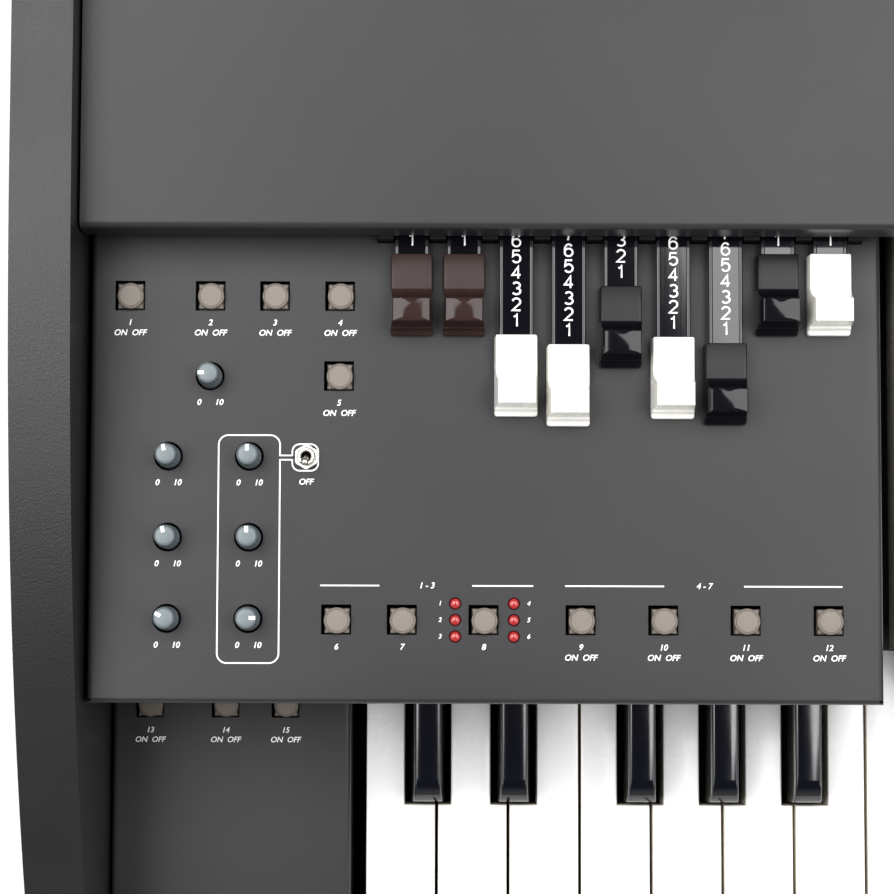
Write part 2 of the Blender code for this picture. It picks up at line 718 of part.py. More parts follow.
def natural_sides(index):
    """Return how far the neighbouring sharps cut into a natural, left and right, by its index."""
    place = index % 7
    left_edge = place * NATURAL_PITCH
    cut_left = 0.0
    cut_right = 0.0
    for after, centre in zip(SHARP_AFTER, SHARP_CENTRES):
        if after == place - 1 and index > 0:
            cut_left = max(0.0, centre + SHARP_NOTCH / 2 - left_edge)
        if after == place and index < NATURALS - 1:
            cut_right = max(0.0, left_edge + NATURAL_PITCH - (centre - SHARP_NOTCH / 2))
    return cut_left, cut_right


def natural_outline(index, tail):
    """Return the plan outline of one natural, anticlockwise from its front left corner."""
    left = index * NATURAL_PITCH + KEY_GAP / 2
    right = left + NATURAL_PITCH - KEY_GAP
    cut_left, cut_right = natural_sides(index)
    rear_left = left + max(0.0, cut_left - KEY_GAP / 2)
    rear_right = right - max(0.0, cut_right - KEY_GAP / 2)
    points = [(left, 0), (right, 0)]
    if cut_right > 0:
        points += [(right, NATURAL_HEAD), (rear_right, NATURAL_HEAD)]
    points += [(rear_right, tail), (rear_left, tail)]
    if cut_left > 0:
        points += [(rear_left, NATURAL_HEAD), (left, NATURAL_HEAD)]
    return points


def sharp_centres(first, last):
    """Return the middle of every sharp between two naturals, from the manual's left edge."""
    centres = []
    for index in range(first, last):
        if index % 7 in SHARP_AFTER:
            place = SHARP_AFTER.index(index % 7)
            centres.append(index // 7 * OCTAVE + SHARP_CENTRES[place])
    return centres


def sharp_profile(tail):
    """Return the side outline of a sharp: sloping front, level top."""
    low = -SHARP_SINK
    front = NATURAL_HEAD + SHARP_FRONT_GAP
    return [
        (front, low), (tail, low), (tail, SHARP_RISE - SHARP_REAR_DROP),
        (front + SHARP_FRONT_SLOPE, SHARP_RISE), (front, SHARP_RISE - SHARP_FRONT_DROP),
    ]


def sharp_mesh(name, tail):
    """Return one sharp, its flanks drawn in towards the top."""
    mesh = outline_mesh(name, [sharp_profile(tail)], SHARP_WIDTH)
    shape = bmesh.new()
    shape.from_mesh(mesh)
    for vert in shape.verts:
        if vert.co.y > 0:
            vert.co.z *= SHARP_TOP_WIDTH / SHARP_WIDTH
    shape.to_mesh(mesh)
    shape.free()
    mesh.transform(OUTLINE_TO_SIDE)
    return mesh


def make_first_octave():
    """Make the lower manual's first octave as twelve keys of their own."""
    middle = LOWER_KEYS_TOP - KEY_HEIGHT / 2
    pivot_y = LOWER_KEYS_FRONT + KEY_PIVOT_FROM_FRONT
    for index in range(7):
        name = "lower_key_" + NOTE_NAMES[index]
        mesh = outline_mesh(name, [natural_outline(index, KEY_REACH)], KEY_HEIGHT)
        pivot = Vector((0, KEY_PIVOT_FROM_FRONT, -KEY_HEIGHT / 2))
        centre_x = (index + 0.5) * NATURAL_PITCH
        for vert in mesh.vertices:
            vert.co -= pivot + Vector((centre_x, 0, 0))
        place = (LOWER_KEYS_X + centre_x, pivot_y, middle + pivot.z)
        bevel(add_part(name, mesh, "key_white", place), KEY_CORNER, segments=1, angle=60)
    names = ("c_sharp", "d_sharp", "f_sharp", "g_sharp", "a_sharp")
    for name, centre in zip(names, SHARP_CENTRES):
        mesh = sharp_mesh("lower_key_" + name, KEY_REACH)
        pivot = Vector((0, KEY_PIVOT_FROM_FRONT, -KEY_HEIGHT))
        for vert in mesh.vertices:
            vert.co -= pivot
        place = (LOWER_KEYS_X + centre, pivot_y, LOWER_KEYS_TOP - KEY_HEIGHT)
        key = add_part("lower_key_" + name, mesh, "key_black", place)
        bevel(key, KEY_CORNER, segments=1, angle=60)


def joined_mesh(name, shapes):
    """Return one mesh that holds several meshes, each moved by its own offset."""
    joined = bmesh.new()
    for mesh, offset in shapes:
        before = len(joined.verts)
        joined.from_mesh(mesh)
        joined.verts.ensure_lookup_table()
        bmesh.ops.translate(joined, vec=offset, verts=joined.verts[before:])
    result = bpy.data.meshes.new(name)
    joined.to_mesh(result)
    joined.free()
    return result


def make_manual(name, first, origin, front, top):
    """Make the keys of a manual from one natural up to the last, joined by a bar at their tails."""
    left = first * NATURAL_PITCH + KEY_GAP / 2
    right = NATURALS * NATURAL_PITCH - KEY_GAP / 2
    rear = KEY_REACH - KEY_PIVOT_FROM_FRONT
    bar_low = (left + BAR_INSET, rear, BAR_INSET)
    bar_high = (right - BAR_INSET, rear + BAR_DEPTH, KEY_HEIGHT - BAR_INSET)
    place = (origin, front + KEY_PIVOT_FROM_FRONT, top - KEY_HEIGHT)
    manual = add_part(name, box_mesh(name, bar_low, bar_high), "key_white", place)
    tail = KEY_REACH + BAR_OVERLAP
    offset = (0, -KEY_PIVOT_FROM_FRONT, KEY_HEIGHT / 2)
    outlines = [[natural_outline(index, tail)] for index in range(first, NATURALS)]
    naturals = [(outline_mesh(name, outline, KEY_HEIGHT), offset) for outline in outlines]
    sharp = sharp_mesh(name, tail)
    centres = sharp_centres(first, NATURALS - 1)
    sharps = [(sharp, (centre, -KEY_PIVOT_FROM_FRONT, KEY_HEIGHT)) for centre in centres]
    for kind, keys in (("_naturals", naturals), ("_sharps", sharps)):
        tool = add_cutter(name + kind, joined_mesh(name + kind, keys), place)
        boolean(manual, tool, "UNION")


def make_keys():
    """Make both manuals."""
    make_first_octave()
    make_manual("lower_keys_upward", 7, LOWER_KEYS_X, LOWER_KEYS_FRONT, LOWER_KEYS_TOP)
    make_manual("upper_keys", 0, UPPER_KEYS_X, UPPER_KEYS_FRONT, UPPER_KEYS_TOP)


def make_organ():
    """Make every piece of the organ."""
    make_body()
    make_frames()
    make_cover()
    make_panels()
    make_drawbars()
    make_buttons()
    make_knobs()
    make_toggle()
    make_keys()


clear_scene()
PARTS = make_collection("spinet_organ")
CUTTERS = make_collection("cutters")
make_organ()
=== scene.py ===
"""Looks of a table-top organ with two offset manuals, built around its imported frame.

Everything is in metres, with +X to the player's right, +Y away from the player and +Z up.
Places on the panels are (u, v): from the left cheek's outer face and from the upper panel's
front edge. Each sub-assembly is a class that makes its meshes, gives them their finishes
and lets them ride on the bodies of the frame.
"""
import functools
import json
import logging
import math
from dataclasses import dataclass, field
from enum import Enum

import bmesh
import bpy
from mathutils import Matrix, Vector
from mathutils.geometry import interpolate_bezier

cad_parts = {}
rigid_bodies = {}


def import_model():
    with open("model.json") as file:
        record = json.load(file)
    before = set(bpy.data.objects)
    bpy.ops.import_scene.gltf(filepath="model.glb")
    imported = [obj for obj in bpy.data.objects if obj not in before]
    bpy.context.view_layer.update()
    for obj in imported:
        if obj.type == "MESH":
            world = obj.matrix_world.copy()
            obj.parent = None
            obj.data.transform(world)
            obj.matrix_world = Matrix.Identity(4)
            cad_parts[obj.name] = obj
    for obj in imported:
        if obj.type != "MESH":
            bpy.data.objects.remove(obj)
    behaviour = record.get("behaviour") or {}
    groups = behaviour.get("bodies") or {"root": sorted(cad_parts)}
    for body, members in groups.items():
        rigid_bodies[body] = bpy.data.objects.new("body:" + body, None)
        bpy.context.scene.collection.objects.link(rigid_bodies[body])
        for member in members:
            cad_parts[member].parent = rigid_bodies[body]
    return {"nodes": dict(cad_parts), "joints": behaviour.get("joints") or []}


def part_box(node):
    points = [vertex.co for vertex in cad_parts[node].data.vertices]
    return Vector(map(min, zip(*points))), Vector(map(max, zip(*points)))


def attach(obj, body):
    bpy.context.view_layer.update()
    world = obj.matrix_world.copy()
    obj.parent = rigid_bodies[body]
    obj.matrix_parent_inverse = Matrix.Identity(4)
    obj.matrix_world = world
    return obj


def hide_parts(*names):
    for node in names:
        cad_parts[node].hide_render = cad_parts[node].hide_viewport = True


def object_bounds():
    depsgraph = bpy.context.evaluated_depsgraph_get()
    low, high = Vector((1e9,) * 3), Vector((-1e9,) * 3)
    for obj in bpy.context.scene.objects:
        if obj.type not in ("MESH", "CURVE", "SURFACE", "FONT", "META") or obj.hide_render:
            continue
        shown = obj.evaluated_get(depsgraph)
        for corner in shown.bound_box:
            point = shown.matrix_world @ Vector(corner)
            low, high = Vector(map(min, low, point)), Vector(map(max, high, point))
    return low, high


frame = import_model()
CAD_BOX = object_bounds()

LOG = logging.getLogger("organ")
Colour = tuple[float, float, float]
Point = tuple[float, float, float]
Place = tuple[float, float]
Sketch = bmesh.types.BMesh
Mesh = bpy.types.Mesh
Node = bpy.types.Node
Socket = bpy.types.NodeSocket

LEFT = CAD_BOX[0].x
PANEL_LOW, PANEL_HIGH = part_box("upper_control_panel")
UPPER_TOP = PANEL_HIGH.z
LOWER_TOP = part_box("lower_control_panel")[1].z
# Lengths below this count as none
TOUCHING = 1e-6
INK_LIFT = 0.000005
INK_THICKNESS = 0.00002

UPPER_BUTTONS = (
    "upper_octave_button", "upper_preset_a_button", "upper_preset_b_button", "manual_upper_button",
    "manual_lower_button", "vibrato_upper_button", "vibrato_lower_button", "vibrato_type_button",
    "percussion_on_button", "percussion_soft_button", "percussion_fast_button",
    "percussion_decay_button",
)
LOWER_BUTTONS = ("lower_octave_button", "lower_preset_a_button", "lower_preset_b_button")
# Where a button stands from its frame node's middle, and its cut-out from there
BUTTON_NUDGE = Vector((-0.0003, -0.0001, 0.0))
CUTOUT_SHIFT = Vector((-0.0003, 0.0003, 0.0))
# Where each knob points at rest, in degrees clockwise from straight back
KNOB_TURNS = {
    "volume_knob": -90.0,
    "click_knob": -15.0,
    "percussion_volume_knob": -15.0,
    "assignable_knob": -60.0,
    "level_knob": 0.0,
    "overdrive_knob": 0.0,
    "tone_knob": 90.0,
}


# Places

def on_panel(place: Place, height: float) -> Vector:
    """Return the world point of a place on the panels, at a height."""
    return Vector((LEFT + place[0], PANEL_LOW.y + place[1], height))


def middle_of(node: str) -> Vector:
    """Return the middle of a CAD node."""
    low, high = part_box(node)
    return (low + high) / 2


def pivot_of(node: str) -> Vector:
    """Return the point that a hinged node turns about."""
    return next(Vector(joint["pos_m"]) for joint in frame["joints"] if joint["child"] == node)


def button_middle(node: str, height: float) -> Vector:
    """Return the middle of a button's cut-out."""
    middle = middle_of(node)
    return Vector((middle.x, middle.y, height)) + BUTTON_NUDGE + CUTOUT_SHIFT


def sweep(start: float, end: float, steps: int) -> list[float]:
    """Return evenly spaced angles in radians, between two that are given in degrees."""
    return [math.radians(start + (end - start) * i / steps) for i in range(steps + 1)]


def oval(centre: Place, reach: Place, start: float, end: float, steps: int = 14) -> list[Place]:
    """Return the points of an oval between two angles in degrees."""
    return [(centre[0] + reach[0] * math.cos(a), centre[1] + reach[1] * math.sin(a))
            for a in sweep(start, end, steps)]


def arc(centre: Place, radius: float, start: float, end: float, steps: int = 8) -> list[Place]:
    """Return the points of an arc between two angles in degrees."""
    return oval(centre, (radius, radius), start, end, steps)


# Node trees

class NodeSheet:
    """A node tree, with short ways to add nodes and join them."""

    def __init__(self, tree: bpy.types.NodeTree) -> None:
        """Keep the tree that nodes are added to."""
        self.tree = tree

    def join(self, source: Socket, target: Socket) -> None:
        """Join an output to an input."""
        self.tree.links.new(source, target)

    def add(self, kind: str, inputs: dict | None = None, **settings: object) -> Node:
        """Add a node, set its options and fill or join its inputs.

        Args:
            kind: The node's type, such as ShaderNodeBump.
            inputs: Values or output sockets by input name or number.
            **settings: Attributes of the node.

        Returns:
            The new node.
        """
        node = self.tree.nodes.new(kind)
        for name, value in settings.items():
            setattr(node, name, value)
        for key, value in (inputs or {}).items():
            if isinstance(value, Socket):
                self.join(value, node.inputs[key])
            else:
                node.inputs[key].default_value = value
        return node

    def effect(self, group: bpy.types.NodeTree, inputs: dict) -> Node:
        """Place a shared effect with its own values."""
        return self.add("ShaderNodeGroup", inputs, node_tree=group)

    def noise(self, vector: object, scale: object, detail: float = 3.0) -> Socket:
        """Return the value of a noise texture."""
        inputs = {"Vector": vector, "Scale": scale, "Detail": detail, "Roughness": 0.55}
        return self.add("ShaderNodeTexNoise", inputs).outputs[0]

    def ramp(self, value: object, span: Place, to: Place = (0.0, 1.0)) -> Socket:
        """Return a value stretched from one span to another, and kept inside it."""
        keys = ("Value", "From Min", "From Max", "To Min", "To Max")
        return self.add("ShaderNodeMapRange", dict(zip(keys, (value, *span, *to)))).outputs[0]

    def math(self, operation: str, first: object, second: object) -> Socket:
        """Return the result of a sum on two values."""
        return self.add("ShaderNodeMath", {0: first, 1: second}, operation=operation).outputs[0]

    def mix(self, share: object, first: Colour, second: Colour) -> Socket:
        """Return a blend of two colours."""
        inputs = {0: share, 6: (*first, 1.0), 7: (*second, 1.0)}
        return self.add("ShaderNodeMix", inputs, data_type="RGBA").outputs[2]


def new_effect(name: str, inputs: dict[str, float], outputs: list[str]) -> tuple:
    """Start a shader node group that has a vector input and some numbers.

    Args:
        name: The group's name.
        inputs: The numbers that a material may set, with their usual values.
        outputs: Names of the values that the group puts out.

    Returns:
        The group, its sheet, the outputs of its input node and the inputs of its output node.
    """
    group = bpy.data.node_groups.new(name, "ShaderNodeTree")
    group.interface.new_socket(name="Vector", in_out="INPUT", socket_type="NodeSocketVector")
    for key, value in inputs.items():
        socket = group.interface.new_socket(name=key, in_out="INPUT", socket_type="NodeSocketFloat")
        socket.default_value = value
    for key in outputs:
        group.interface.new_socket(name=key, in_out="OUTPUT", socket_type="NodeSocketFloat")
    sheet = NodeSheet(group)
    return group, sheet, sheet.add("NodeGroupInput").outputs, sheet.add("NodeGroupOutput").inputs


@functools.cache
def paint_grain() -> bpy.types.NodeTree:
    """Make the effect of a sprayed coat: small pimples of a given size, and broad clouds.

    Returns:
        The node group, made once.
    """
    group, sheet, given, result = new_effect("paint_grain", {"Size": 0.0006}, ["Height", "Cloud"])
    pimples = sheet.noise(given["Vector"], sheet.math("DIVIDE", 1.0, given["Size"]))
    clouds = sheet.noise(given["Vector"], 14.0, 2.0)
    sheet.join(sheet.ramp(pimples, (0.30, 0.70)), result["Height"])
    sheet.join(sheet.ramp(clouds, (0.35, 0.65)), result["Cloud"])
    return group


@functools.cache
def hand_wear() -> bpy.types.NodeTree:
    """Make the effect of handling: soft smudges in some spots.

    Returns:
        The node group, made once.
    """
    group, sheet, given, result = new_effect("hand_wear", {"Scale": 24.0, "Amount": 1.0}, ["Smudge"])
    broad = sheet.noise(given["Vector"], given["Scale"], 4.0)
    fine = sheet.noise(given["Vector"], sheet.math("MULTIPLY", given["Scale"], 9.0), 5.0)
    both = sheet.math("MULTIPLY", sheet.ramp(broad, (0.42, 0.68)), fine)
    sheet.join(sheet.math("MULTIPLY", both, given["Amount"]), result["Smudge"])
    return group


@functools.cache
def mould_streaks() -> bpy.types.NodeTree:
    """Make the effect of fine lines along Y, as polishing leaves them on moulded plastic.

    Returns:
        The node group, made once.
    """
    group, sheet, given, result = new_effect("mould_streaks", {"Scale": 900.0}, ["Streak"])
    squeeze = {0: given["Vector"], 1: (1.0, 0.05, 0.6)}
    stretched = sheet.add("ShaderNodeVectorMath", squeeze, operation="MULTIPLY").outputs[0]
    lines = sheet.noise(stretched, given["Scale"], 2.0)
    sheet.join(sheet.ramp(lines, (0.30, 0.70)), result["Streak"])
    return group


# Finishes

@dataclass(frozen=True)
class Finish:
    """What every finish has: two colours that it drifts between, a gloss, and signs of handling."""

    name: str
    colour: Colour
    drift: Colour
    roughness: float
    wear: float = 0.10
    wear_scale: float = 60.0

    @functools.cache
    def material(self) -> bpy.types.Material:
        """Make the finish's material.

        Returns:
            The material, made once.
        """
        made = bpy.data.materials.new(self.name)
        made.use_nodes = True
        shader = made.node_tree.nodes["Principled BSDF"]
        shader.inputs["Base Color"].default_value = (*self.colour, 1.0)
        shader.inputs["Roughness"].default_value = self.roughness
        self.wire(NodeSheet(made.node_tree), shader)
        return made

    def wire(self, sheet: NodeSheet, shader: Node) -> None:
        """Join the finish's textures to the shader, which each kind does in its own way."""
        raise NotImplementedError

    def coords(self, sheet: NodeSheet) -> Socket:
        """Return coordinates that stay with the piece."""
        return sheet.add("ShaderNodeTexCoord").outputs["Object"]

    def upward(self, sheet: NodeSheet) -> Socket:
        """Return how much the surface faces up."""
        normal = sheet.add("ShaderNodeNewGeometry").outputs["Normal"]
        return sheet.add("ShaderNodeSeparateXYZ", {0: normal}).outputs["Z"]

    def tint(self, sheet: NodeSheet, shader: Node, share: Socket) -> None:
        """Let the colour drift to the second one."""
        sheet.join(sheet.mix(share, self.colour, self.drift), shader.inputs["Base Color"])

    def smudge(self, sheet: NodeSheet, shader: Node) -> None:
        """Let handling change the gloss.

        Args:
            sheet: The material's node sheet.
            shader: The material's Principled BSDF.
        """
        marks = sheet.effect(hand_wear(), {"Vector": self.coords(sheet), "Scale": self.wear_scale})
        span = (self.roughness, self.roughness + self.wear)
        rough = sheet.ramp(marks.outputs["Smudge"], (0.0, 1.0), span)
        sheet.join(rough, shader.inputs["Roughness"])

    def relief(self, sheet: NodeSheet, shader: Node, height: Socket, depth: float) -> None:
        """Raise the surface by a height map of a given depth."""
        bump = sheet.add("ShaderNodeBump", {"Height": height, "Distance": depth, "Strength": 1.0})
        sheet.join(bump.outputs[0], shader.inputs["Normal"])


@dataclass(frozen=True)
class SprayedPaint(Finish):
    """A sprayed or powder-coated surface with a grain."""

    wear_scale: float = 11.0
    grain: float = 0.0006
    depth: float = 0.00002
    gloss: float = 0.5

    def wire(self, sheet: NodeSheet, shader: Node) -> None:
        """Join the grain, the clouds and the smudges.

        Args:
            sheet: The material's node sheet.
            shader: The material's Principled BSDF.
        """
        shader.inputs["Specular IOR Level"].default_value = self.gloss
        coat = sheet.effect(paint_grain(), {"Vector": self.coords(sheet), "Size": self.grain})
        self.tint(sheet, shader, coat.outputs["Cloud"])
        self.smudge(sheet, shader)
        self.relief(sheet, shader, coat.outputs["Height"], self.depth)


@dataclass(frozen=True)
class LinedSurface(Finish):
    """A surface with fine lines along Y, smudged by hands."""

    wear: float = 0.12
    lines: float = 900.0
    depth: float = 0.000004
    gloss: float = 0.5

    def wire(self, sheet: NodeSheet, shader: Node) -> None:
        """Join the lines and the smudges.

        Args:
            sheet: The material's node sheet.
            shader: The material's Principled BSDF.
        """
        shader.inputs["Specular IOR Level"].default_value = self.gloss
        inputs = {"Vector": self.coords(sheet), "Scale": self.lines}
        lines = sheet.effect(mould_streaks(), inputs).outputs["Streak"]
        self.tint(sheet, shader, lines)
        self.smudge(sheet, shader)
        self.relief(sheet, shader, lines, self.depth)


@dataclass(frozen=True)
class MouldedPlastic(LinedSurface):
    """Moulded plastic."""


@dataclass(frozen=True)
class GripPlastic(LinedSurface):
    """Moulded plastic that is satin at the back and polished by fingers towards the front."""

    polished_before: float = -0.0115
    satin_behind: float = -0.0103
    polish: float = 0.09

    def wire(self, sheet: NodeSheet, shader: Node) -> None:
        """Join the lines, and let the gloss grow towards the front.

        Args:
            sheet: The material's node sheet.
            shader: The material's Principled BSDF.
        """
        super().wire(sheet, shader)
        place = sheet.add("ShaderNodeSeparateXYZ", {0: self.coords(sheet)}).outputs["Y"]
        span = (self.polished_before, self.satin_behind)
        sheet.join(sheet.ramp(place, span, (self.polish, self.roughness)), shader.inputs["Roughness"])


@dataclass(frozen=True)
class PlatedMetal(LinedSurface):
    """Plated or drawn metal."""

    wear: float = 0.10
    wear_scale: float = 90.0
    lines: float = 1500.0
    depth: float = 0.000003

    def wire(self, sheet: NodeSheet, shader: Node) -> None:
        """Make it metal, and join the lines and the smudges."""
        shader.inputs["Metallic"].default_value = 1.0
        super().wire(sheet, shader)


@dataclass(frozen=True)
class PolishedKey(Finish):
    """Cast key plastic: polished on top, with sides painted in the second colour as painted shading by
    facing.
    """

    wear: float = 0.14
    wear_scale: float = 40.0
    coat: float = 0.3
    gloss: float = 0.5
    clear: float = 0.0
    side_shading_span: Place = (0.95, 0.3)
    wave_scale: float = 70.0
    wave_depth: float = 0.00003

    def wire(self, sheet: NodeSheet, shader: Node) -> None:
        """Join the painted side shading, the smudges and a faint waviness.

        Args:
            sheet: The material's node sheet.
            shader: The material's Principled BSDF.
        """
        settings = {"Subsurface Weight": self.clear, "Subsurface Scale": 0.002,
                    "Subsurface Radius": (1.0, 0.9, 0.8), "Specular IOR Level": self.gloss,
                    "Coat Weight": self.coat, "Coat Roughness": 0.08}
        for key, value in settings.items():
            shader.inputs[key].default_value = value
        # Surfaces that face less upward drift to the second colour: painted shading of the sides, not a
        # colour of the plastic.
        self.tint(sheet, shader, sheet.ramp(self.upward(sheet), self.side_shading_span))
        self.smudge(sheet, shader)
        waves = sheet.noise(self.coords(sheet), self.wave_scale, 1.0)
        self.relief(sheet, shader, waves, self.wave_depth)


@dataclass(frozen=True)
class LampLens(Finish):
    """A tinted lamp lens that glows faintly from inside."""

    wear_scale: float = 200.0
    glow: float = 0.28
    dome_shading_span: Place = (0.55, 0.90)

    def wire(self, sheet: NodeSheet, shader: Node) -> None:
        """Join the painted dome shading, lighter where the lens faces up and dark at its rim, and its glow.

        Args:
            sheet: The material's node sheet.
            shader: The material's Principled BSDF.
        """
        # Painted shading of the dome: dark red at the rim, lighter red on top; the same colour feeds the
        # lamp's faint glow.
        shaded_lens = sheet.mix(sheet.ramp(self.upward(sheet), self.dome_shading_span), self.colour, self.drift)
        sheet.join(shaded_lens, shader.inputs["Base Color"])
        sheet.join(shaded_lens, shader.inputs["Emission Color"])
        shader.inputs["Emission Strength"].default_value = self.glow
        shader.inputs["Coat Weight"].default_value = 0.25
        self.smudge(sheet, shader)


@dataclass(frozen=True)
class ScreenInk(Finish):
    """Printed ink with a slightly uneven cover."""

    wear_scale: float = 150.0
    grain: float = 0.0003

    def wire(self, sheet: NodeSheet, shader: Node) -> None:
        """Join the uneven cover and the smudges.

        Args:
            sheet: The material's node sheet.
            shader: The material's Principled BSDF.
        """
        cover = sheet.effect(paint_grain(), {"Vector": self.coords(sheet), "Size": self.grain})
        self.tint(sheet, shader, cover.outputs["Height"])
        self.smudge(sheet, shader)


CHEEK_PAINT = SprayedPaint("cheek_paint", (0.0085, 0.0083, 0.0092), (0.0105, 0.0103, 0.0112), 0.42,
                           grain=0.0007, depth=0.00004, gloss=0.42)
COVER_PAINT = SprayedPaint("cover_paint", (0.0225, 0.0212, 0.0232), (0.0245, 0.0232, 0.0252), 0.36,
                           grain=0.0004, depth=0.000006, gloss=0.26)
PANEL_PAINT = SprayedPaint("panel_paint", (0.0225, 0.0210, 0.0228), (0.0245, 0.0230, 0.0248), 0.37,
                           grain=0.0004, depth=0.000006, gloss=0.25)
BOARD_PAINT = SprayedPaint("board_black", (0.015, 0.015, 0.016), (0.020, 0.020, 0.021), 0.75,
                           grain=0.0010, depth=0.00005, gloss=0.3)
FOOT_RUBBER = SprayedPaint("foot_rubber", (0.014, 0.014, 0.014), (0.020, 0.020, 0.020), 0.85,
                           grain=0.0005, depth=0.00005, gloss=0.2)
BLACK_MOULDING = MouldedPlastic("black_moulding", (0.004, 0.004, 0.005), (0.007, 0.007, 0.008), 0.60,
                                gloss=0.2)
BAR_BLACK = MouldedPlastic("bar_black", (0.002, 0.002, 0.004), (0.003, 0.003, 0.005), 0.06,
                           depth=0.000001, wear=0.02)
CHROME = PlatedMetal("chrome", (0.79, 0.765, 0.70), (0.85, 0.825, 0.76), 0.26)
PIN_NICKEL = PlatedMetal("pin_nickel", (0.62, 0.60, 0.55), (0.68, 0.66, 0.61), 0.25)
SCREW_BLACK = PlatedMetal("screw_black", (0.05, 0.05, 0.05), (0.08, 0.08, 0.08), 0.40)
# The keys' second colour is painted shade on their sides: darker and creamier on the naturals, less blue on
# the sharps.
KEY_WHITE = PolishedKey("key_white", (0.75, 0.745, 0.745), (0.70, 0.65, 0.55), 0.24)
KEY_BLACK = PolishedKey("key_black", (0.0015, 0.0020, 0.0055), (0.0015, 0.0015, 0.0030), 0.10, coat=0.2,
                        gloss=0.7)
KNOB_GREY = MouldedPlastic("knob_grey", (0.105, 0.128, 0.138), (0.135, 0.160, 0.170), 0.36, lines=500.0,
                           depth=0.00001)
BUTTON_CAP = MouldedPlastic("button_cap", (0.147, 0.124, 0.104), (0.166, 0.141, 0.119), 0.48, lines=300.0)
BUTTON_BASE = MouldedPlastic("button_base", (0.185, 0.160, 0.136), (0.215, 0.187, 0.160), 0.50,
                             lines=300.0)
# The dark red is painted shade at the lens's rim, the lighter red its painted lit top.
LAMP_RED = LampLens("lamp_red", (0.090, 0.0016, 0.0022), (0.30, 0.020, 0.020), 0.14)
WHITE_INK = ScreenInk("white_ink", (0.88, 0.88, 0.88), (0.80, 0.80, 0.80), 0.50)


class Tone(Enum):
    """The colours that drawbar knobs come in, with their finishes."""

    BROWN = GripPlastic("drawbar_brown", (0.024, 0.0130, 0.0120), (0.031, 0.0175, 0.0160), 0.34,
                        lines=260.0, gloss=0.20)
    # The second colour is painted light: the white knobs' sides and steps are lightened and made creamier.
    WHITE = PolishedKey("drawbar_white", (0.80, 0.79, 0.765), (0.95, 0.93, 0.85), 0.24, clear=0.4)
    BLACK = GripPlastic("drawbar_black", (0.003, 0.003, 0.0045), (0.005, 0.005, 0.0065), 0.34,
                        lines=260.0, gloss=0.24)


# Mesh tools

def in_scene(name: str, data: bpy.types.ID) -> bpy.types.Object:
    """Put a mesh, a curve, a light or a camera in the scene.

    Args:
        name: The new object's name.
        data: What it shows.

    Returns:
        The new object.
    """
    made = bpy.data.objects.new(name, data)
    bpy.context.scene.collection.objects.link(made)
    return made


def stored(name: str, sketch: Sketch) -> Mesh:
    """Turn a sketch into a mesh and free the sketch.

    Args:
        name: The mesh's name.
        sketch: The bmesh to store.

    Returns:
        The new mesh.
    """
    mesh = bpy.data.meshes.new(name)
    sketch.to_mesh(mesh)
    sketch.free()
    return mesh


def smoothed(mesh: Mesh, sharp: float = 35.0) -> Mesh:
    """Shade a mesh smooth.

    Args:
        mesh: The mesh.
        sharp: The angle in degrees above which an edge stays sharp.

    Returns:
        The same mesh.
    """
    mesh.shade_smooth()
    mesh.set_sharp_from_angle(angle=math.radians(sharp))
    return mesh


def shaped(name: str, sketch: Sketch, sharp: float = 35.0) -> Mesh:
    """Turn a sketch into a clean, smooth-shaded mesh and free the sketch.

    Args:
        name: The mesh's name.
        sketch: The bmesh to store.
        sharp: The angle in degrees above which an edge stays sharp.

    Returns:
        The new mesh.
    """
    bmesh.ops.remove_doubles(sketch, verts=sketch.verts, dist=1e-7)
    bmesh.ops.recalc_face_normals(sketch, faces=sketch.faces)
    return smoothed(stored(name, sketch), sharp)


def applied(name: str, *holders: bpy.types.Object) -> Mesh:
    """Turn an object into a plain mesh, and remove the object.

    Args:
        name: The new mesh's name.
        *holders: The object, and any other that its modifiers need.

    Returns:
        The mesh that its modifiers leave.
    """
    bpy.context.view_layer.update()
    graph = bpy.context.evaluated_depsgraph_get()
    result = bpy.data.meshes.new_from_object(holders[0].evaluated_get(graph))
    used = [holder.data for holder in holders]
    bpy.data.batch_remove([*holders, *used])
    result.name = name
    return result


def cut(mesh: Mesh, cutter: Mesh) -> Mesh:
    """Cut one mesh out of another, and remove both.

    Args:
        mesh: The mesh that is cut.
        cutter: The mesh that is taken away from it.

    Returns:
        What is left, under the first mesh's name.
    """
    part, tool = in_scene(mesh.name, mesh), in_scene("cutter", cutter)
    step = part.modifiers.new("cut", "BOOLEAN")
    step.operation = "DIFFERENCE"
    step.solver = "EXACT"
    step.object = tool
    return smoothed(applied(mesh.name, part, tool))


def add_piece(name: str, mesh: Mesh, body: str, finish: Finish,
              stands_for: str | None = None, where: Matrix | None = None) -> None:
    """Put a mesh in the scene as a piece of the organ.

    Args:
        name: The piece's name.
        mesh: Its mesh, which may be shared.
        body: The body that it rides on.
        finish: Its finish.
        stands_for: The CAD node that it is shown in place of.
        where: Its place in the world.
    """
    piece = in_scene(name, mesh)
    piece.matrix_world = where or Matrix.Identity(4)
    if not mesh.materials:
        mesh.materials.append(finish.material())
    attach(piece, body)
    if stands_for:
        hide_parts(stands_for)
    LOG.info("%s rides on %s", name, body)


def dress_node(node: str, finish: Finish) -> None:
    """Give a CAD node that stays in sight its finish."""
    frame["nodes"][node].material_slots[0].material = finish.material()
    LOG.info("%s keeps its shape", node)


def box_into(sketch: Sketch, low: Point, high: Point) -> None:
    """Add a box to a sketch.

    Args:
        sketch: The bmesh that gets the box.
        low: The box's lowest corner.
        high: Its highest corner.
    """
    low, high = Vector(low), Vector(high)
    verts = bmesh.ops.create_cube(sketch, size=1.0)["verts"]
    bmesh.ops.scale(sketch, vec=high - low, verts=verts)
    bmesh.ops.translate(sketch, vec=(low + high) / 2, verts=verts)


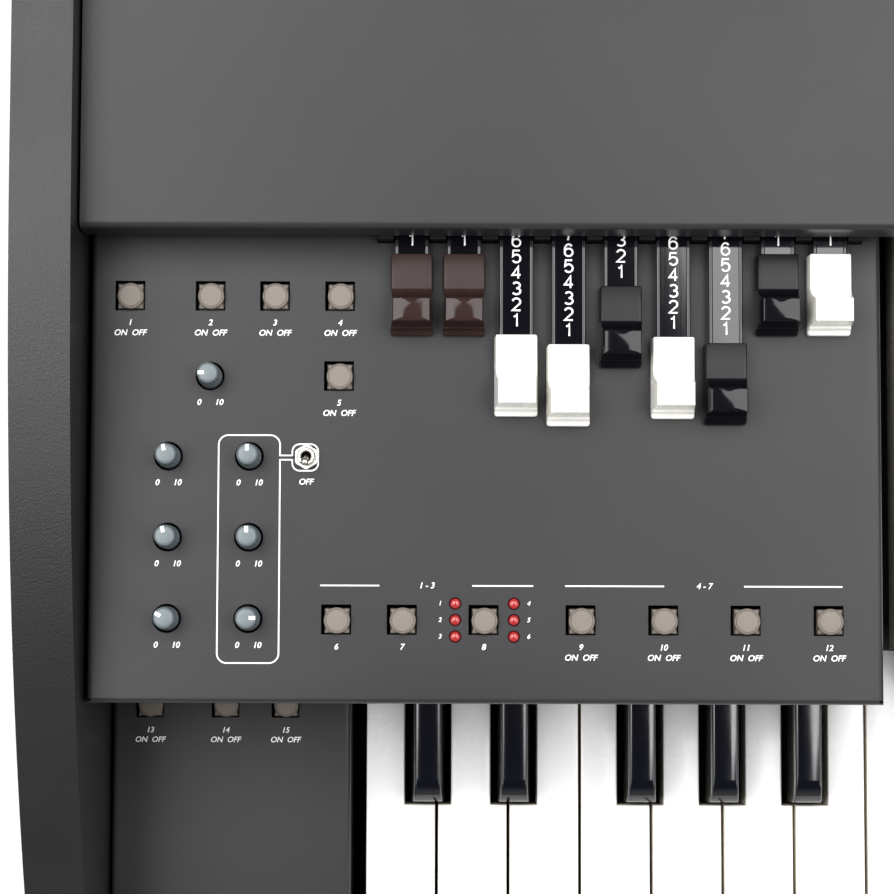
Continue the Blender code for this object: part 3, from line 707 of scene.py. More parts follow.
def round_edges(sketch: Sketch, edges: list[bmesh.types.BMEdge], radius: float, steps: int) -> None:
    """Round some edges of a sketch."""
    bmesh.ops.bevel(sketch, geom=edges, offset=radius, segments=steps, profile=0.5, affect="EDGES")


def rounded_box(name: str, low: Point, high: Point, radius: float, steps: int) -> Mesh:
    """Make a box whose edges are all rounded.

    Args:
        name: The mesh's name.
        low: The box's lowest corner.
        high: Its highest corner.
        radius: The rounding.
        steps: How many faces each rounding has.

    Returns:
        The new mesh.
    """
    sketch = bmesh.new()
    box_into(sketch, low, high)
    round_edges(sketch, sketch.edges[:], radius, steps)
    return shaped(name, sketch)


def loft_into(sketch: Sketch, rings: list[list[Point]], closed: bool = False) -> None:
    """Add a solid that runs through rings of equal length to a sketch.

    Args:
        sketch: The bmesh that gets the shape.
        rings: The rings' points.
        closed: Whether the last ring joins the first one, which leaves no ends.
    """
    made = [[sketch.verts.new(point) for point in ring] for ring in rings]
    onward = made[1:] + (made[:1] if closed else [])
    for first, second in zip(made, onward):
        for i in range(len(first)):
            j = (i + 1) % len(first)
            sketch.faces.new((first[i], first[j], second[j], second[i]))
    if not closed:
        sketch.faces.new(list(reversed(made[0])))
        sketch.faces.new(made[-1])


def lofted(name: str, rings: list[list[Point]], sharp: float = 35.0) -> Mesh:
    """Make a mesh that runs through rings of equal length, closed at both ends.

    Args:
        name: The mesh's name.
        rings: The rings' points.
        sharp: The angle in degrees above which an edge stays sharp.

    Returns:
        The new mesh.
    """
    sketch = bmesh.new()
    loft_into(sketch, rings)
    return shaped(name, sketch, sharp)


def turned_into(sketch: Sketch, profile: list[Place], steps: int) -> None:
    """Turn a profile of (radius, height) points about Z into a sketch.

    Args:
        sketch: The bmesh that gets the shape.
        profile: The points, which start and end on the axis for a closed shape.
        steps: How many faces go round.
    """
    rings = []
    for radius, height in profile:
        count = steps if radius > TOUCHING else 1
        rings.append([sketch.verts.new((radius * math.cos(a), radius * math.sin(a), height))
                      for a in sweep(0, 360, steps)[:count]])
    for upper, lower in zip(rings, rings[1:]):
        for i in range(steps):
            j = (i + 1) % steps
            ring = [upper[i % len(upper)], upper[j % len(upper)],
                    lower[j % len(lower)], lower[i % len(lower)]]
            corners = list(dict.fromkeys(ring))
            if len(corners) > 2:
                sketch.faces.new(corners)


def turned(name: str, profile: list[Place], steps: int, sharp: float = 35.0) -> Mesh:
    """Make a turned mesh.

    Args:
        name: The mesh's name.
        profile: The (radius, height) points that turn about Z.
        steps: How many faces go round.
        sharp: The angle in degrees above which an edge stays sharp.

    Returns:
        The new mesh.
    """
    sketch = bmesh.new()
    turned_into(sketch, profile, steps)
    return shaped(name, sketch, sharp)


def stamp_into(sketch: Sketch, mesh: Mesh, places: list[Matrix]) -> None:
    """Add copies of a mesh to a sketch, and remove the mesh.

    Args:
        sketch: The bmesh that gets the copies.
        mesh: The mesh that is copied.
        places: Where each copy goes.
    """
    for place in places:
        copy = mesh.copy()
        copy.transform(place)
        sketch.from_mesh(copy)
        bpy.data.meshes.remove(copy)
    bpy.data.meshes.remove(mesh)


def ribbon_into(sketch: Sketch, path: list[Place], width: float, surface: float,
                closed: bool = False) -> None:
    """Add a printed line along a path to a sketch.

    Args:
        sketch: The bmesh that gets the line.
        path: The XY points that it follows.
        width: The line's width.
        surface: The height of what it is printed on.
        closed: Whether it joins its own start.
    """
    points = [Vector(point) for point in path]
    count = len(points)
    low, high = surface + INK_LIFT, surface + INK_THICKNESS
    rings = []
    for i, here in enumerate(points):
        before = points[i - 1] if i > 0 or closed else here
        after = points[(i + 1) % count] if i < count - 1 or closed else here
        first, second = (here - before).normalized(), (after - here).normalized()
        along = (first + second).normalized()
        slant = max(0.5, abs(along.dot(second))) if second.length > 0 else 1.0
        across = Vector((-along.y, along.x)) * width / 2 / slant
        left, right = here + across, here - across
        rings.append([(*left, low), (*right, low), (*right, high), (*left, high)])
    loft_into(sketch, rings, closed)


def letters_into(sketch: Sketch, words: str, size: float, where: Vector, slant: float,
                 weight: float) -> None:
    """Add centred raised characters to a sketch.

    Args:
        sketch: The bmesh that gets them.
        words: What they say, which is only numbers or ON and OFF.
        size: Their size.
        where: The middle of the line, at the surface that they are printed on.
        slant: How far they lean.
        weight: How much fatter than plain they are, as a share of the size.
    """
    curve = bpy.data.curves.new("letters", "FONT")
    curve.body = words
    curve.size = size
    curve.shear = slant
    curve.offset = weight * size
    curve.align_x = "CENTER"
    curve.align_y = "CENTER"
    curve.resolution_u = 4
    curve.extrude = INK_THICKNESS
    stamp_into(sketch, applied("letters", in_scene("letters", curve)), [Matrix.Translation(where)])


# The organ's sub-assemblies

@dataclass
class Cheeks:
    """The two painted side boards, with rounded edges."""

    thickness: float = 0.018
    corner: float = 0.006
    edge: float = 0.0026
    edge_steps: int = 5
    curve_steps: int = 36
    fall: tuple = ((0.080, 0.188), (0.010, 0.188), (-0.049, 0.1795), (-0.104, 0.1575))
    drop: tuple = ((-0.104, 0.1575), (-0.149, 0.1395), (-0.200, 0.112), (-0.200, 0.085))

    def outline(self) -> list[Place]:
        """Draw a cheek from the side, from the rear top corner round the front.

        Returns:
            The outline as (y, z) points.
        """
        low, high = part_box("left_cheek")
        r = self.corner
        points = arc((high.y - r, high.z - r), r, 0, 90)
        for curve, skipped in ((self.fall, 0), (self.drop, 1)):
            run = interpolate_bezier(*[Vector(point) for point in curve], self.curve_steps)
            points += [tuple(point) for point in run[skipped:]]
        points += arc((low.y + r, low.z + r), r, 180, 270)
        return points + arc((high.y - r, low.z + r), r, 270, 360)

    def mesh(self, name: str) -> Mesh:
        """Make one cheek in the middle of the world.

        Args:
            name: The mesh's name.

        Returns:
            The board.
        """
        outline, half = self.outline(), self.thickness / 2
        sketch = bmesh.new()
        inner, outer = [[sketch.verts.new((x, y, z)) for y, z in outline] for x in (-half, half)]
        sides = [sketch.faces.new(inner), sketch.faces.new(list(reversed(outer)))]
        for i in range(len(outline)):
            j = (i + 1) % len(outline)
            sketch.faces.new((inner[i], outer[i], outer[j], inner[j]))
        edges = [edge for side in sides for edge in side.edges]
        round_edges(sketch, edges, self.edge, self.edge_steps)
        return shaped(name, sketch, sharp=50.0)

    def build(self) -> None:
        """Make both cheeks."""
        for node in ("left_cheek", "right_cheek"):
            where = Matrix.Translation((middle_of(node).x, 0, 0))
            board = self.mesh(node + "_board")
            add_piece(node + "_board", board, "case", CHEEK_PAINT, node, where)


@dataclass
class Base:
    """The bottom board, the feet, the front rail and the frames under the keys."""

    rail_round: float = 0.003
    rail_steps: int = 6
    foot_round: float = 0.003
    foot_steps: int = 3
    shelf_top: float = 0.098
    shelf_thickness: float = 0.010
    shelf_round: float = 0.0006
    lip_top: float = 0.104
    lip_depth: float = 0.008
    wall: Place = (0.060, 0.072)
    ridge: Place = (0.121, 0.125)
    past_keys: float = 0.0004

    def shelf(self) -> Mesh:
        """Make the upper key frame, which reaches further to the front where it carries the panel.

        Returns:
            The frame: a shelf with a lip, a rear wall and a ridge that the keys turn on.
        """
        low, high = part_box("upper_key_frame")
        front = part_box("upper_keys")[0].y - self.past_keys
        top, under = self.shelf_top, self.shelf_top - self.shelf_thickness
        (wall_front, wall_rear), (ridge_front, ridge_rear) = self.wall, self.ridge
        sketch = bmesh.new()
        for left, right, edge in ((low.x, PANEL_HIGH.x, low.y), (PANEL_HIGH.x, high.x, front)):
            lip = edge + self.lip_depth
            outline = [(edge, under), (wall_front, under), (wall_front, low.z), (wall_rear, low.z),
                       (wall_rear, under), (high.y, under), (high.y, top), (ridge_rear, top),
                       (ridge_rear, high.z), (ridge_front, high.z), (ridge_front, top), (lip, top),
                       (lip, self.lip_top), (edge, self.lip_top)]
            loft_into(sketch, [[(x, y, z) for y, z in outline] for x in (left, right)])
        lengthwise = [edge for edge in sketch.edges
                      if abs(edge.verts[0].co.x - edge.verts[1].co.x) > TOUCHING]
        round_edges(sketch, lengthwise, self.shelf_round, 2)
        return shaped("upper_shelf", sketch)

    def build(self) -> None:
        """Dress the plain nodes, round the rail and the feet, and make the upper frame."""
        dress_node("bottom_board", BOARD_PAINT)
        dress_node("lower_key_frame", BOARD_PAINT)
        dress_node("drawbar_guide", BLACK_MOULDING)
        add_piece("upper_shelf", self.shelf(), "case", BOARD_PAINT, "upper_key_frame")
        rail = rounded_box("front_rail_bar", *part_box("front_rail"), self.rail_round, self.rail_steps)
        add_piece("front_rail_bar", rail, "case", PANEL_PAINT, "front_rail")
        for node in ("front_foot_strip", "rear_foot_strip"):
            strip = rounded_box(node + "_rubber", *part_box(node), self.foot_round, self.foot_steps)
            add_piece(node + "_rubber", strip, "case", FOOT_RUBBER, node)


@dataclass
class RearCover:
    """The folded rear cover with its rolled lip, the mains inlet and the cover's screws."""

    thickness: float = 0.0018
    hem: float = 0.006
    lip_height: float = 0.016
    bends: tuple = (0.0022, 0.0020, 0.0080)
    bend_steps: int = 8
    inlet: Place = (-0.300, 0.055)
    inlet_size: Place = (0.027, 0.0195)
    inlet_gap: float = 0.001
    inlet_depth: float = 0.015
    hole_behind: float = 0.01
    inlet_wall: float = 0.0007
    key_share: float = 0.35
    flange: float = 0.0030
    flange_edge: float = 0.0004
    flange_corner: float = 0.001
    flange_proud: float = 0.0015
    pins: tuple = ((-0.007, -0.002), (0.007, -0.002), (0.0, 0.002))
    pin_size: Place = (0.002, 0.004)
    pin_recess: float = 0.003
    screw_line: tuple = ((0.0, 0.0006), (0.0009, 0.0006), (0.0011, 0.00125), (0.00176, 0.0012),
                         (0.00272, 0.0009), (0.0032, 0.0004), (0.0032, -0.0002), (0.0, -0.0002))
    screw_count: int = 7
    screw_inset: float = 0.030
    screw_height: float = 0.010

    def path(self) -> list[Vector]:
        """Draw the cover's outer line, from the hem under the lip to the back's foot.

        Returns:
            The line as (y, z) points.
        """
        low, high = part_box("rear_cover")
        rear = high.y - self.flange_proud
        lip = high.z - self.lip_height
        line = [(low.y + self.hem, lip), (low.y, lip), (low.y, high.z), (rear, high.z), (rear, low.z)]
        corners = [Vector(point) for point in line]
        points = corners[:1]
        for before, here, after, radius in zip(corners, corners[1:], corners[2:], self.bends):
            back = (before - here).normalized() * radius
            onward = (after - here).normalized() * radius
            points += [here + back * (1 - math.sin(a)) + onward * (1 - math.cos(a))
                       for a in sweep(0, 90, self.bend_steps)]
        return points + corners[-1:]

    def sheet(self) -> Mesh:
        """Make the folded sheet, with a hole for the inlet.

        Returns:
            The sheet.
        """
        low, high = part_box("rear_cover")
        outer = self.path()
        padded = outer[:1] + outer + outer[-1:]
        inner = []
        for before, here, after in zip(padded, outer, padded[2:]):
            along = (after - before).normalized()
            inner.append(here + Vector((along.y, -along.x)) * self.thickness)
        ring = outer + list(reversed(inner))
        mesh = lofted("rear_cover_sheet", [[(x, *point) for point in ring] for x in (low.x, high.x)])
        x, z = self.inlet
        wide, tall = [size / 2 + self.inlet_gap for size in self.inlet_size]
        hole = bmesh.new()
        box_into(hole, (x - wide, high.y - self.inlet_depth, z - tall),
                 (x + wide, high.y + self.hole_behind, z + tall))
        return cut(mesh, shaped("inlet_hole", hole))

    def inlet_housing(self) -> Mesh:
        """Make the inlet's moulded socket.

        Returns:
            A cup with two slanting corners, behind a flange.
        """
        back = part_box("rear_cover")[1].y
        x, z = self.inlet
        wall, rim = self.inlet_wall, self.flange
        layout = [(wall, self.inlet_depth + wall), (wall, self.flange_proud), (rim, self.flange_proud),
                  (rim, self.flange_edge), (rim - self.flange_edge, 0.0), (0.0, 0.0),
                  (0.0, self.inlet_depth)]
        rings = []
        for grow, depth in layout:
            w, t = [size / 2 + grow for size in self.inlet_size]
            slant = min(w, t) * self.key_share if grow <= wall else self.flange_corner
            corners = [(-w, -t), (w, -t), (w, t - slant), (w - slant, t), (slant - w, t), (-w, t - slant)]
            rings.append([(x + across, back - depth, z + up) for across, up in corners])
        return lofted("inlet_housing", rings, sharp=30.0)

    def inlet_pins(self) -> Mesh:
        """Make the three flat pins inside the inlet.

        Returns:
            The pins.
        """
        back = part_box("rear_cover")[1].y
        wide, tall = [size / 2 for size in self.pin_size]
        sketch = bmesh.new()
        for across, up in self.pins:
            x, z = self.inlet[0] + across, self.inlet[1] + up
            box_into(sketch, (x - wide, back - self.inlet_depth, z - tall),
                     (x + wide, back - self.pin_recess, z + tall))
        return shaped("inlet_pins", sketch)

    def screws(self) -> Mesh:
        """Make the pan-head screws along the back's foot.

        Returns:
            The screws, as separate solids.
        """
        low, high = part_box("rear_cover")
        step = (high.x - low.x - 2 * self.screw_inset) / (self.screw_count - 1)
        backward = Matrix.Rotation(-math.pi / 2, 4, "X")
        corner = Vector((low.x + self.screw_inset, high.y - self.flange_proud, low.z + self.screw_height))
        places = [Matrix.Translation(corner + Vector((i * step, 0, 0))) @ backward
                  for i in range(self.screw_count)]
        sketch = bmesh.new()
        stamp_into(sketch, turned("screw_head", self.screw_line, 24), places)
        return shaped("cover_screws", sketch)

    def build(self) -> None:
        """Make the sheet, the inlet and the screws."""
        add_piece("rear_cover_sheet", self.sheet(), "case", COVER_PAINT, "rear_cover")
        add_piece("inlet_housing", self.inlet_housing(), "case", BLACK_MOULDING)
        add_piece("inlet_pins", self.inlet_pins(), "case", PIN_NICKEL)
        add_piece("cover_screws", self.screws(), "case", SCREW_BLACK)


@dataclass
class FoldedPanels:
    """The folded sheet-metal panels, with their cut-outs."""

    thickness: float = 0.0015
    bend: float = 0.0018
    bend_steps: int = 6
    under_lip: float = 0.0025
    square_side: float = 0.0090
    knob_hole: float = 0.0043
    lamp_hole: float = 0.00182
    toggle_hole: float = 0.0030
    notch: float = 0.00045
    notch_in: float = 0.0009
    hole_steps: int = 40
    lead: float = 0.0001
    knob_lead: float = 0.00012
    guide_gap: float = 0.0004
    plug_depth: float = 0.004
    plug_rise: float = 0.001

    def folded(self, name: str, node: str, extra: float = 0.0) -> Mesh:
        """Make a panel with a top, a front and two sides, open below and behind.

        Args:
            name: The mesh's name.
            node: The CAD node whose size it takes.
            extra: How far it goes on behind that node.

        Returns:
            The folded sheet.
        """
        low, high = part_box(node)
        high.y += extra
        sketch = bmesh.new()
        box_into(sketch, low, high)
        unwanted = [face for face in sketch.faces if face.normal.z < -0.5 or face.normal.y > 0.5]
        bmesh.ops.delete(sketch, geom=unwanted, context="FACES")
        bends = [edge for edge in sketch.edges if len(edge.link_faces) == 2 and
                 abs(edge.verts[0].co.z - edge.verts[1].co.z) < TOUCHING]
        round_edges(sketch, bends, self.bend, self.bend_steps)
        bmesh.ops.recalc_face_normals(sketch, faces=sketch.faces)
        if max(sketch.faces, key=lambda face: face.calc_area()).normal.z < 0:
            bmesh.ops.reverse_faces(sketch, faces=sketch.faces)
        holder = in_scene(name, stored(name, sketch))
        sheet = holder.modifiers.new("sheet", "SOLIDIFY")
        sheet.thickness = self.thickness
        sheet.offset = -1
        return smoothed(applied(name, holder))

    def round_hole(self, sketch: Sketch, where: Vector, radius: float, lead: float) -> None:
        """Add the plug of a round hole.

        Args:
            sketch: The bmesh that gets the plug.
            where: The hole's middle, at the panel's top.
            radius: Its radius.
            lead: How much it widens at the top.
        """
        profile = [(0.0, self.plug_rise), (radius + lead * 2, self.plug_rise), (radius + lead, 0.0),
                   (radius, -lead), (radius, -self.plug_depth), (0.0, -self.plug_depth)]
        stamp_into(sketch, turned("plug", profile, self.hole_steps), [Matrix.Translation(where)])

    def plugs(self, node: str, buttons: tuple[str, ...]) -> Sketch:
        """Start the plugs of a panel's holes, with its corner notches and its buttons' cut-outs.

        Args:
            node: The panel's CAD node.
            buttons: The nodes of its buttons.

        Returns:
            The sketch that holds them.
        """
        low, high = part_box(node)
        half = Vector((self.square_side / 2, self.square_side / 2, self.plug_depth))
        sketch = bmesh.new()
        for x in (low.x + self.notch_in, high.x - self.notch_in):
            corner = Vector((x, low.y + self.notch_in, high.z))
            self.round_hole(sketch, corner, self.notch, self.lead)
        for button in buttons:
            middle = button_middle(button, high.z)
            box_into(sketch, middle - half, middle + half)
        return sketch

    def upper_plugs(self) -> Mesh:
        """Make the plugs of all the upper panel's holes, and of its recess round the drawbar guide.

        Returns:
            The plugs.
        """
        sketch = self.plugs("upper_control_panel", UPPER_BUTTONS)
        low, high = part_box("drawbar_guide")
        edge = PANEL_HIGH.y
        box_into(sketch, (low.x - self.guide_gap, edge, UPPER_TOP - self.plug_depth),
                 (high.x + self.guide_gap, edge + self.plug_depth, UPPER_TOP + self.plug_rise))
        for node in KNOB_TURNS:
            self.round_hole(sketch, pivot_of(node), self.knob_hole, self.knob_lead)
        for place in Lamps().places():
            self.round_hole(sketch, on_panel(place, UPPER_TOP), self.lamp_hole, self.lead)
        toggle = middle_of("toggle_bushing")
        toggle.z = UPPER_TOP
        self.round_hole(sketch, toggle, self.toggle_hole, self.lead)
        return shaped("upper_plugs", sketch)

    def build(self) -> None:
        """Make the three panels."""
        upper = self.folded("upper_panel_sheet", "upper_control_panel", self.under_lip)
        lower = self.folded("lower_panel_sheet", "lower_control_panel")
        lower_plugs = shaped("lower_plugs", self.plugs("lower_control_panel", LOWER_BUTTONS))
        sheets = {
            "upper_control_panel": cut(upper, self.upper_plugs()),
            "lower_control_panel": cut(lower, lower_plugs),
            "right_end_panel": self.folded("right_end_sheet", "right_end_panel"),
        }
        for node, sheet in sheets.items():
            add_piece(sheet.name, sheet, "case", PANEL_PAINT, node)


@dataclass
class PushButtons:
    """The push buttons: a square cup, and a round cap that hides all but its corners."""

    side: float = 0.0074
    rim: float = 0.0004
    rim_top: float = 0.0010
    floor: float = 0.0003
    bottom: float = -0.0060
    post_place: float = 0.0029
    post_radius: float = 0.00028
    post_top: float = 0.0009
    post_foot: float = 0.00035
    post_edge: float = 0.0001
    cap_radius: float = 0.00392
    cap_top: float = 0.0025
    cap_skirt: float = 0.0002
    cap_edge: float = 0.0004
    cap_fall: float = 0.00055
    cap_turns: tuple = (0.0, 0.4, 0.8, 1.2, 1.57)
    dome: Place = (0.0018, 0.00002)
    groove: float = 0.00338
    # The groove's line, as (outwards from its middle, down from the cap's top)
    groove_line: tuple = ((-0.00022, 0.00008), (-0.00006, 0.00036), (0.00006, 0.00036), (0.00016, 0.00016))

    def cup(self) -> Mesh:
        """Make the square cup.

        Returns:
            The cup, with a small post in each corner.
        """
        half = self.side / 2
        sketch = bmesh.new()
        box_into(sketch, (-half, -half, self.bottom), (half, half, self.rim_top))
        top = max(sketch.faces, key=lambda face: face.calc_center_median().z)
        bmesh.ops.inset_individual(sketch, faces=[top], thickness=self.rim, depth=0.0)
        bmesh.ops.translate(sketch, vec=(0, 0, self.floor - self.rim_top), verts=top.verts)
        profile = [(0.0, self.post_top), (self.post_radius, self.post_top - self.post_edge),
                   (self.post_radius, self.post_foot), (0.0, self.post_foot)]
        corners = [(x * self.post_place, y * self.post_place, 0) for x in (-1, 1) for y in (-1, 1)]
        stamp_into(sketch, turned("post", profile, 12), [Matrix.Translation(corner) for corner in corners])
        return shaped("button_cup", sketch)

    def cap(self) -> Mesh:
        """Make the round cap, slightly domed, with a fine groove inside its edge.

        Returns:
            The cap.
        """
        r, top, edge = self.cap_radius, self.cap_top, self.cap_edge
        profile = [(0.0, top), (self.dome[0], top - self.dome[1])]
        profile += [(self.groove + across, top - down) for across, down in self.groove_line]
        profile += [(r - edge + edge * math.sin(a), top - self.cap_fall + edge * math.cos(a))
                    for a in self.cap_turns]
        profile += [(r, self.cap_skirt), (0.0, self.cap_skirt)]
        return turned("button_cap", profile, steps=48, sharp=45.0)

    def build(self) -> None:
        """Make every button of both panels."""
        cup, cap = self.cup(), self.cap()
        for nodes, top in ((UPPER_BUTTONS, UPPER_TOP), (LOWER_BUTTONS, LOWER_TOP)):
            for node in nodes:
                where = Matrix.Translation(button_middle(node, top) - CUTOUT_SHIFT)
                add_piece(node + "_cup", cup, node, BUTTON_BASE, node, where)
                add_piece(node + "_cap", cap, node, BUTTON_CAP, None, where)


@dataclass
class RotaryKnobs:
    """The seven fluted knobs, each with a white pointer at the edge of its top."""

    foot_radius: float = 0.0036
    top_radius: float = 0.0033
    edge_across: float = 0.0011
    edge_down: float = 0.0015
    edge_start: float = 0.00008
    height: float = 0.0104
    depth: float = 0.0060
    dome: Place = (0.35, 0.00002)
    flutes: int = 18
    flute_depth: float = 0.00014
    flute_inset: float = 0.0001
    flute_foot: float = 0.0025
    foot_line: tuple = ((0.0035, 0.0030), (0.0036, 0.0022))
    steps: int = 72
    pointer_width: float = 0.0011
    pointer_start: float = 0.0010
    pointer_rise: float = 0.00008
    pointer_depth: float = 0.0003

    def edge(self) -> list[Place]:
        """Return the rounding of the top's edge as (radius, height) points, going outwards."""
        centre = (self.top_radius - self.edge_across, self.height - self.edge_start - self.edge_down)
        return oval(centre, (self.edge_across, self.edge_down), 90, 0, 7)

    def body(self) -> Mesh:
        """Make the fluted body.

        Returns:
            The body, with its foot's middle on the origin.
        """
        top, (share, fall) = self.top_radius, self.dome
        profile = [(0.0, self.height), (top * share, self.height - fall)] + self.edge()
        profile += [*self.foot_line, (self.foot_radius, -self.depth), (0.0, -self.depth)]
        sketch = bmesh.new()
        turned_into(sketch, profile, self.steps)
        for vert in sketch.verts:
            radius = math.hypot(vert.co.x, vert.co.y)
            if radius > top - self.flute_inset and vert.co.z > self.flute_foot:
                ripple = self.flute_depth * (math.cos(self.flutes * math.atan2(vert.co.y, vert.co.x)) - 1)
                vert.co.xy *= 1 + ripple / radius
        return shaped("knob_body", sketch, sharp=50.0)

    def pointer(self) -> Mesh:
        """Make the white pointer.

        Returns:
            A bar that runs over the top's edge.
        """
        line = [(self.pointer_start, self.height - self.dome[1])] + self.edge()[:4]
        rings = []
        for x in (-self.pointer_width / 2, self.pointer_width / 2):
            over = [(x, y, z + self.pointer_rise) for y, z in line]
            under = [(x, y - self.pointer_rise, z - self.pointer_depth) for y, z in reversed(line)]
            rings.append(over + under)
        return lofted("knob_pointer", rings)

    def build(self) -> None:
        """Make every knob, turned to its setting."""
        body, pointer = self.body(), self.pointer()
        for node, setting in KNOB_TURNS.items():
            turn = Matrix.Rotation(-math.radians(setting), 4, "Z")
            where = Matrix.Translation(pivot_of(node)) @ turn
            add_piece(node + "_body", body, node, KNOB_GREY, node, where)
            add_piece(node + "_pointer", pointer, node, WHITE_INK, None, where)


@dataclass
class ToggleSwitch:
    """The chrome toggle: a hexagon nut on a threaded bush, and a bat lever that leans to the front."""

    nut_flats: float = 0.0066
    nut_foot: float = 0.0003
    nut_height: float = 0.0020
    nut_chamfer: Place = (0.00018, 0.0002)
    nut_crown: float = 0.0003
    nut_steps: int = 36
    nut_overlap: float = 0.0001
    bush_radius: float = 0.0027
    bush_top: float = 0.0040
    bush_foot: float = -0.004
    bush_edge: float = 0.0003
    bore: float = 0.00155
    threads: int = 4
    thread_depth: float = 0.0002
    thread_shares: Place = (0.3, 0.9)
    tilt: float = 12.0
    bat: tuple = ((0.0, 0.0112), (0.0005, 0.0111), (0.0009, 0.0108), (0.00118, 0.0102), (0.00120, 0.0096),
                  (0.00105, 0.0075), (0.00085, 0.0050), (0.00075, 0.0035), (0.0007, -0.0020), (0.0, -0.0020))

    def nut(self) -> Mesh:
        """Make the chamfered nut, with flats to the left and right.

        Returns:
            The nut.
        """
        corner = self.nut_flats / math.sqrt(3)
        inside = self.bush_radius - self.nut_overlap
        across, down = self.nut_chamfer
        layout = [(inside, self.nut_foot), (corner, self.nut_foot), (corner, self.nut_height - down),
                  (corner - across, self.nut_height), (inside, self.nut_height)]
        sixth = math.pi / 3
        rings = []
        for radius, height in layout:
            ring = []
            for i in range(self.nut_steps):
                angle = 2 * math.pi * (i + 0.5) / self.nut_steps
                flat = math.cos(sixth / 2) / math.cos((angle + sixth / 2) % sixth - sixth / 2)
                reach = min(corner * flat, radius + self.nut_crown * (1 - flat))
                if radius == inside:
                    reach = radius
                ring.append((reach * math.cos(angle), reach * math.sin(angle), height))
            rings.append(ring)
        sketch = bmesh.new()
        loft_into(sketch, rings, closed=True)
        return shaped("toggle_nut", sketch, sharp=25.0)

    def bush(self) -> Mesh:
        """Make the threaded bush.

        Returns:
            A sleeve with a thread above the nut.
        """
        outer, top, edge = self.bush_radius, self.bush_top, self.bush_edge
        profile = [(self.bore, self.bush_foot), (outer, self.bush_foot), (outer, self.nut_height)]
        pitch = (top - edge - self.nut_height) / self.threads
        for i in range(self.threads):
            height = self.nut_height + i * pitch
            profile += [(outer - fall, height + pitch * share)
                        for fall, share in zip((self.thread_depth, 0.0), self.thread_shares)]
        profile += [(outer - edge, top), (self.bore + edge, top), (self.bore, top - edge), profile[0]]
        return turned("toggle_bush", profile, steps=48, sharp=25.0)

    def build(self) -> None:
        """Make the bush, the nut and the lever."""
        pivot = pivot_of("toggle_lever")
        ground = Matrix.Translation((pivot.x, pivot.y, UPPER_TOP))
        lean = Matrix.Translation(pivot) @ Matrix.Rotation(math.radians(self.tilt), 4, "X")
        bat = turned("toggle_bat", self.bat, steps=32, sharp=50.0)
        add_piece("toggle_bush", self.bush(), "case", CHROME, "toggle_bushing", ground)
        add_piece("toggle_nut", self.nut(), "case", CHROME, None, ground)
        add_piece("toggle_bat", bat, "toggle_lever", CHROME, "toggle_lever", lean)


@dataclass
class Lamps:
    """The six red lamps beside the type button."""

    columns: Place = (0.1298, 0.1474)
    rows: tuple = (0.0300, 0.02505, 0.0201)
    radius: float = 0.00172
    proud: float = 0.0007
    sink: float = 0.0004
    depth: float = 0.0030

    def places(self) -> list[Place]:
        """Return the lamps' places on the panel."""
        return [(u, v) for u in self.columns for v in self.rows]

    def build(self) -> None:
        """Make the domed lenses."""
        dome = oval((0.0, -self.sink), (self.radius, self.proud + self.sink), 90, 0, 8)
        foot = [(self.radius, -self.depth), (0.0, -self.depth)]
        lens = turned("lamp_lens", dome + foot, steps=32, sharp=50.0)
        for number, place in enumerate(self.places(), 1):
            where = Matrix.Translation(on_panel(place, UPPER_TOP))
            add_piece(f"lamp_{number}", lens, "case", LAMP_RED, None, where)


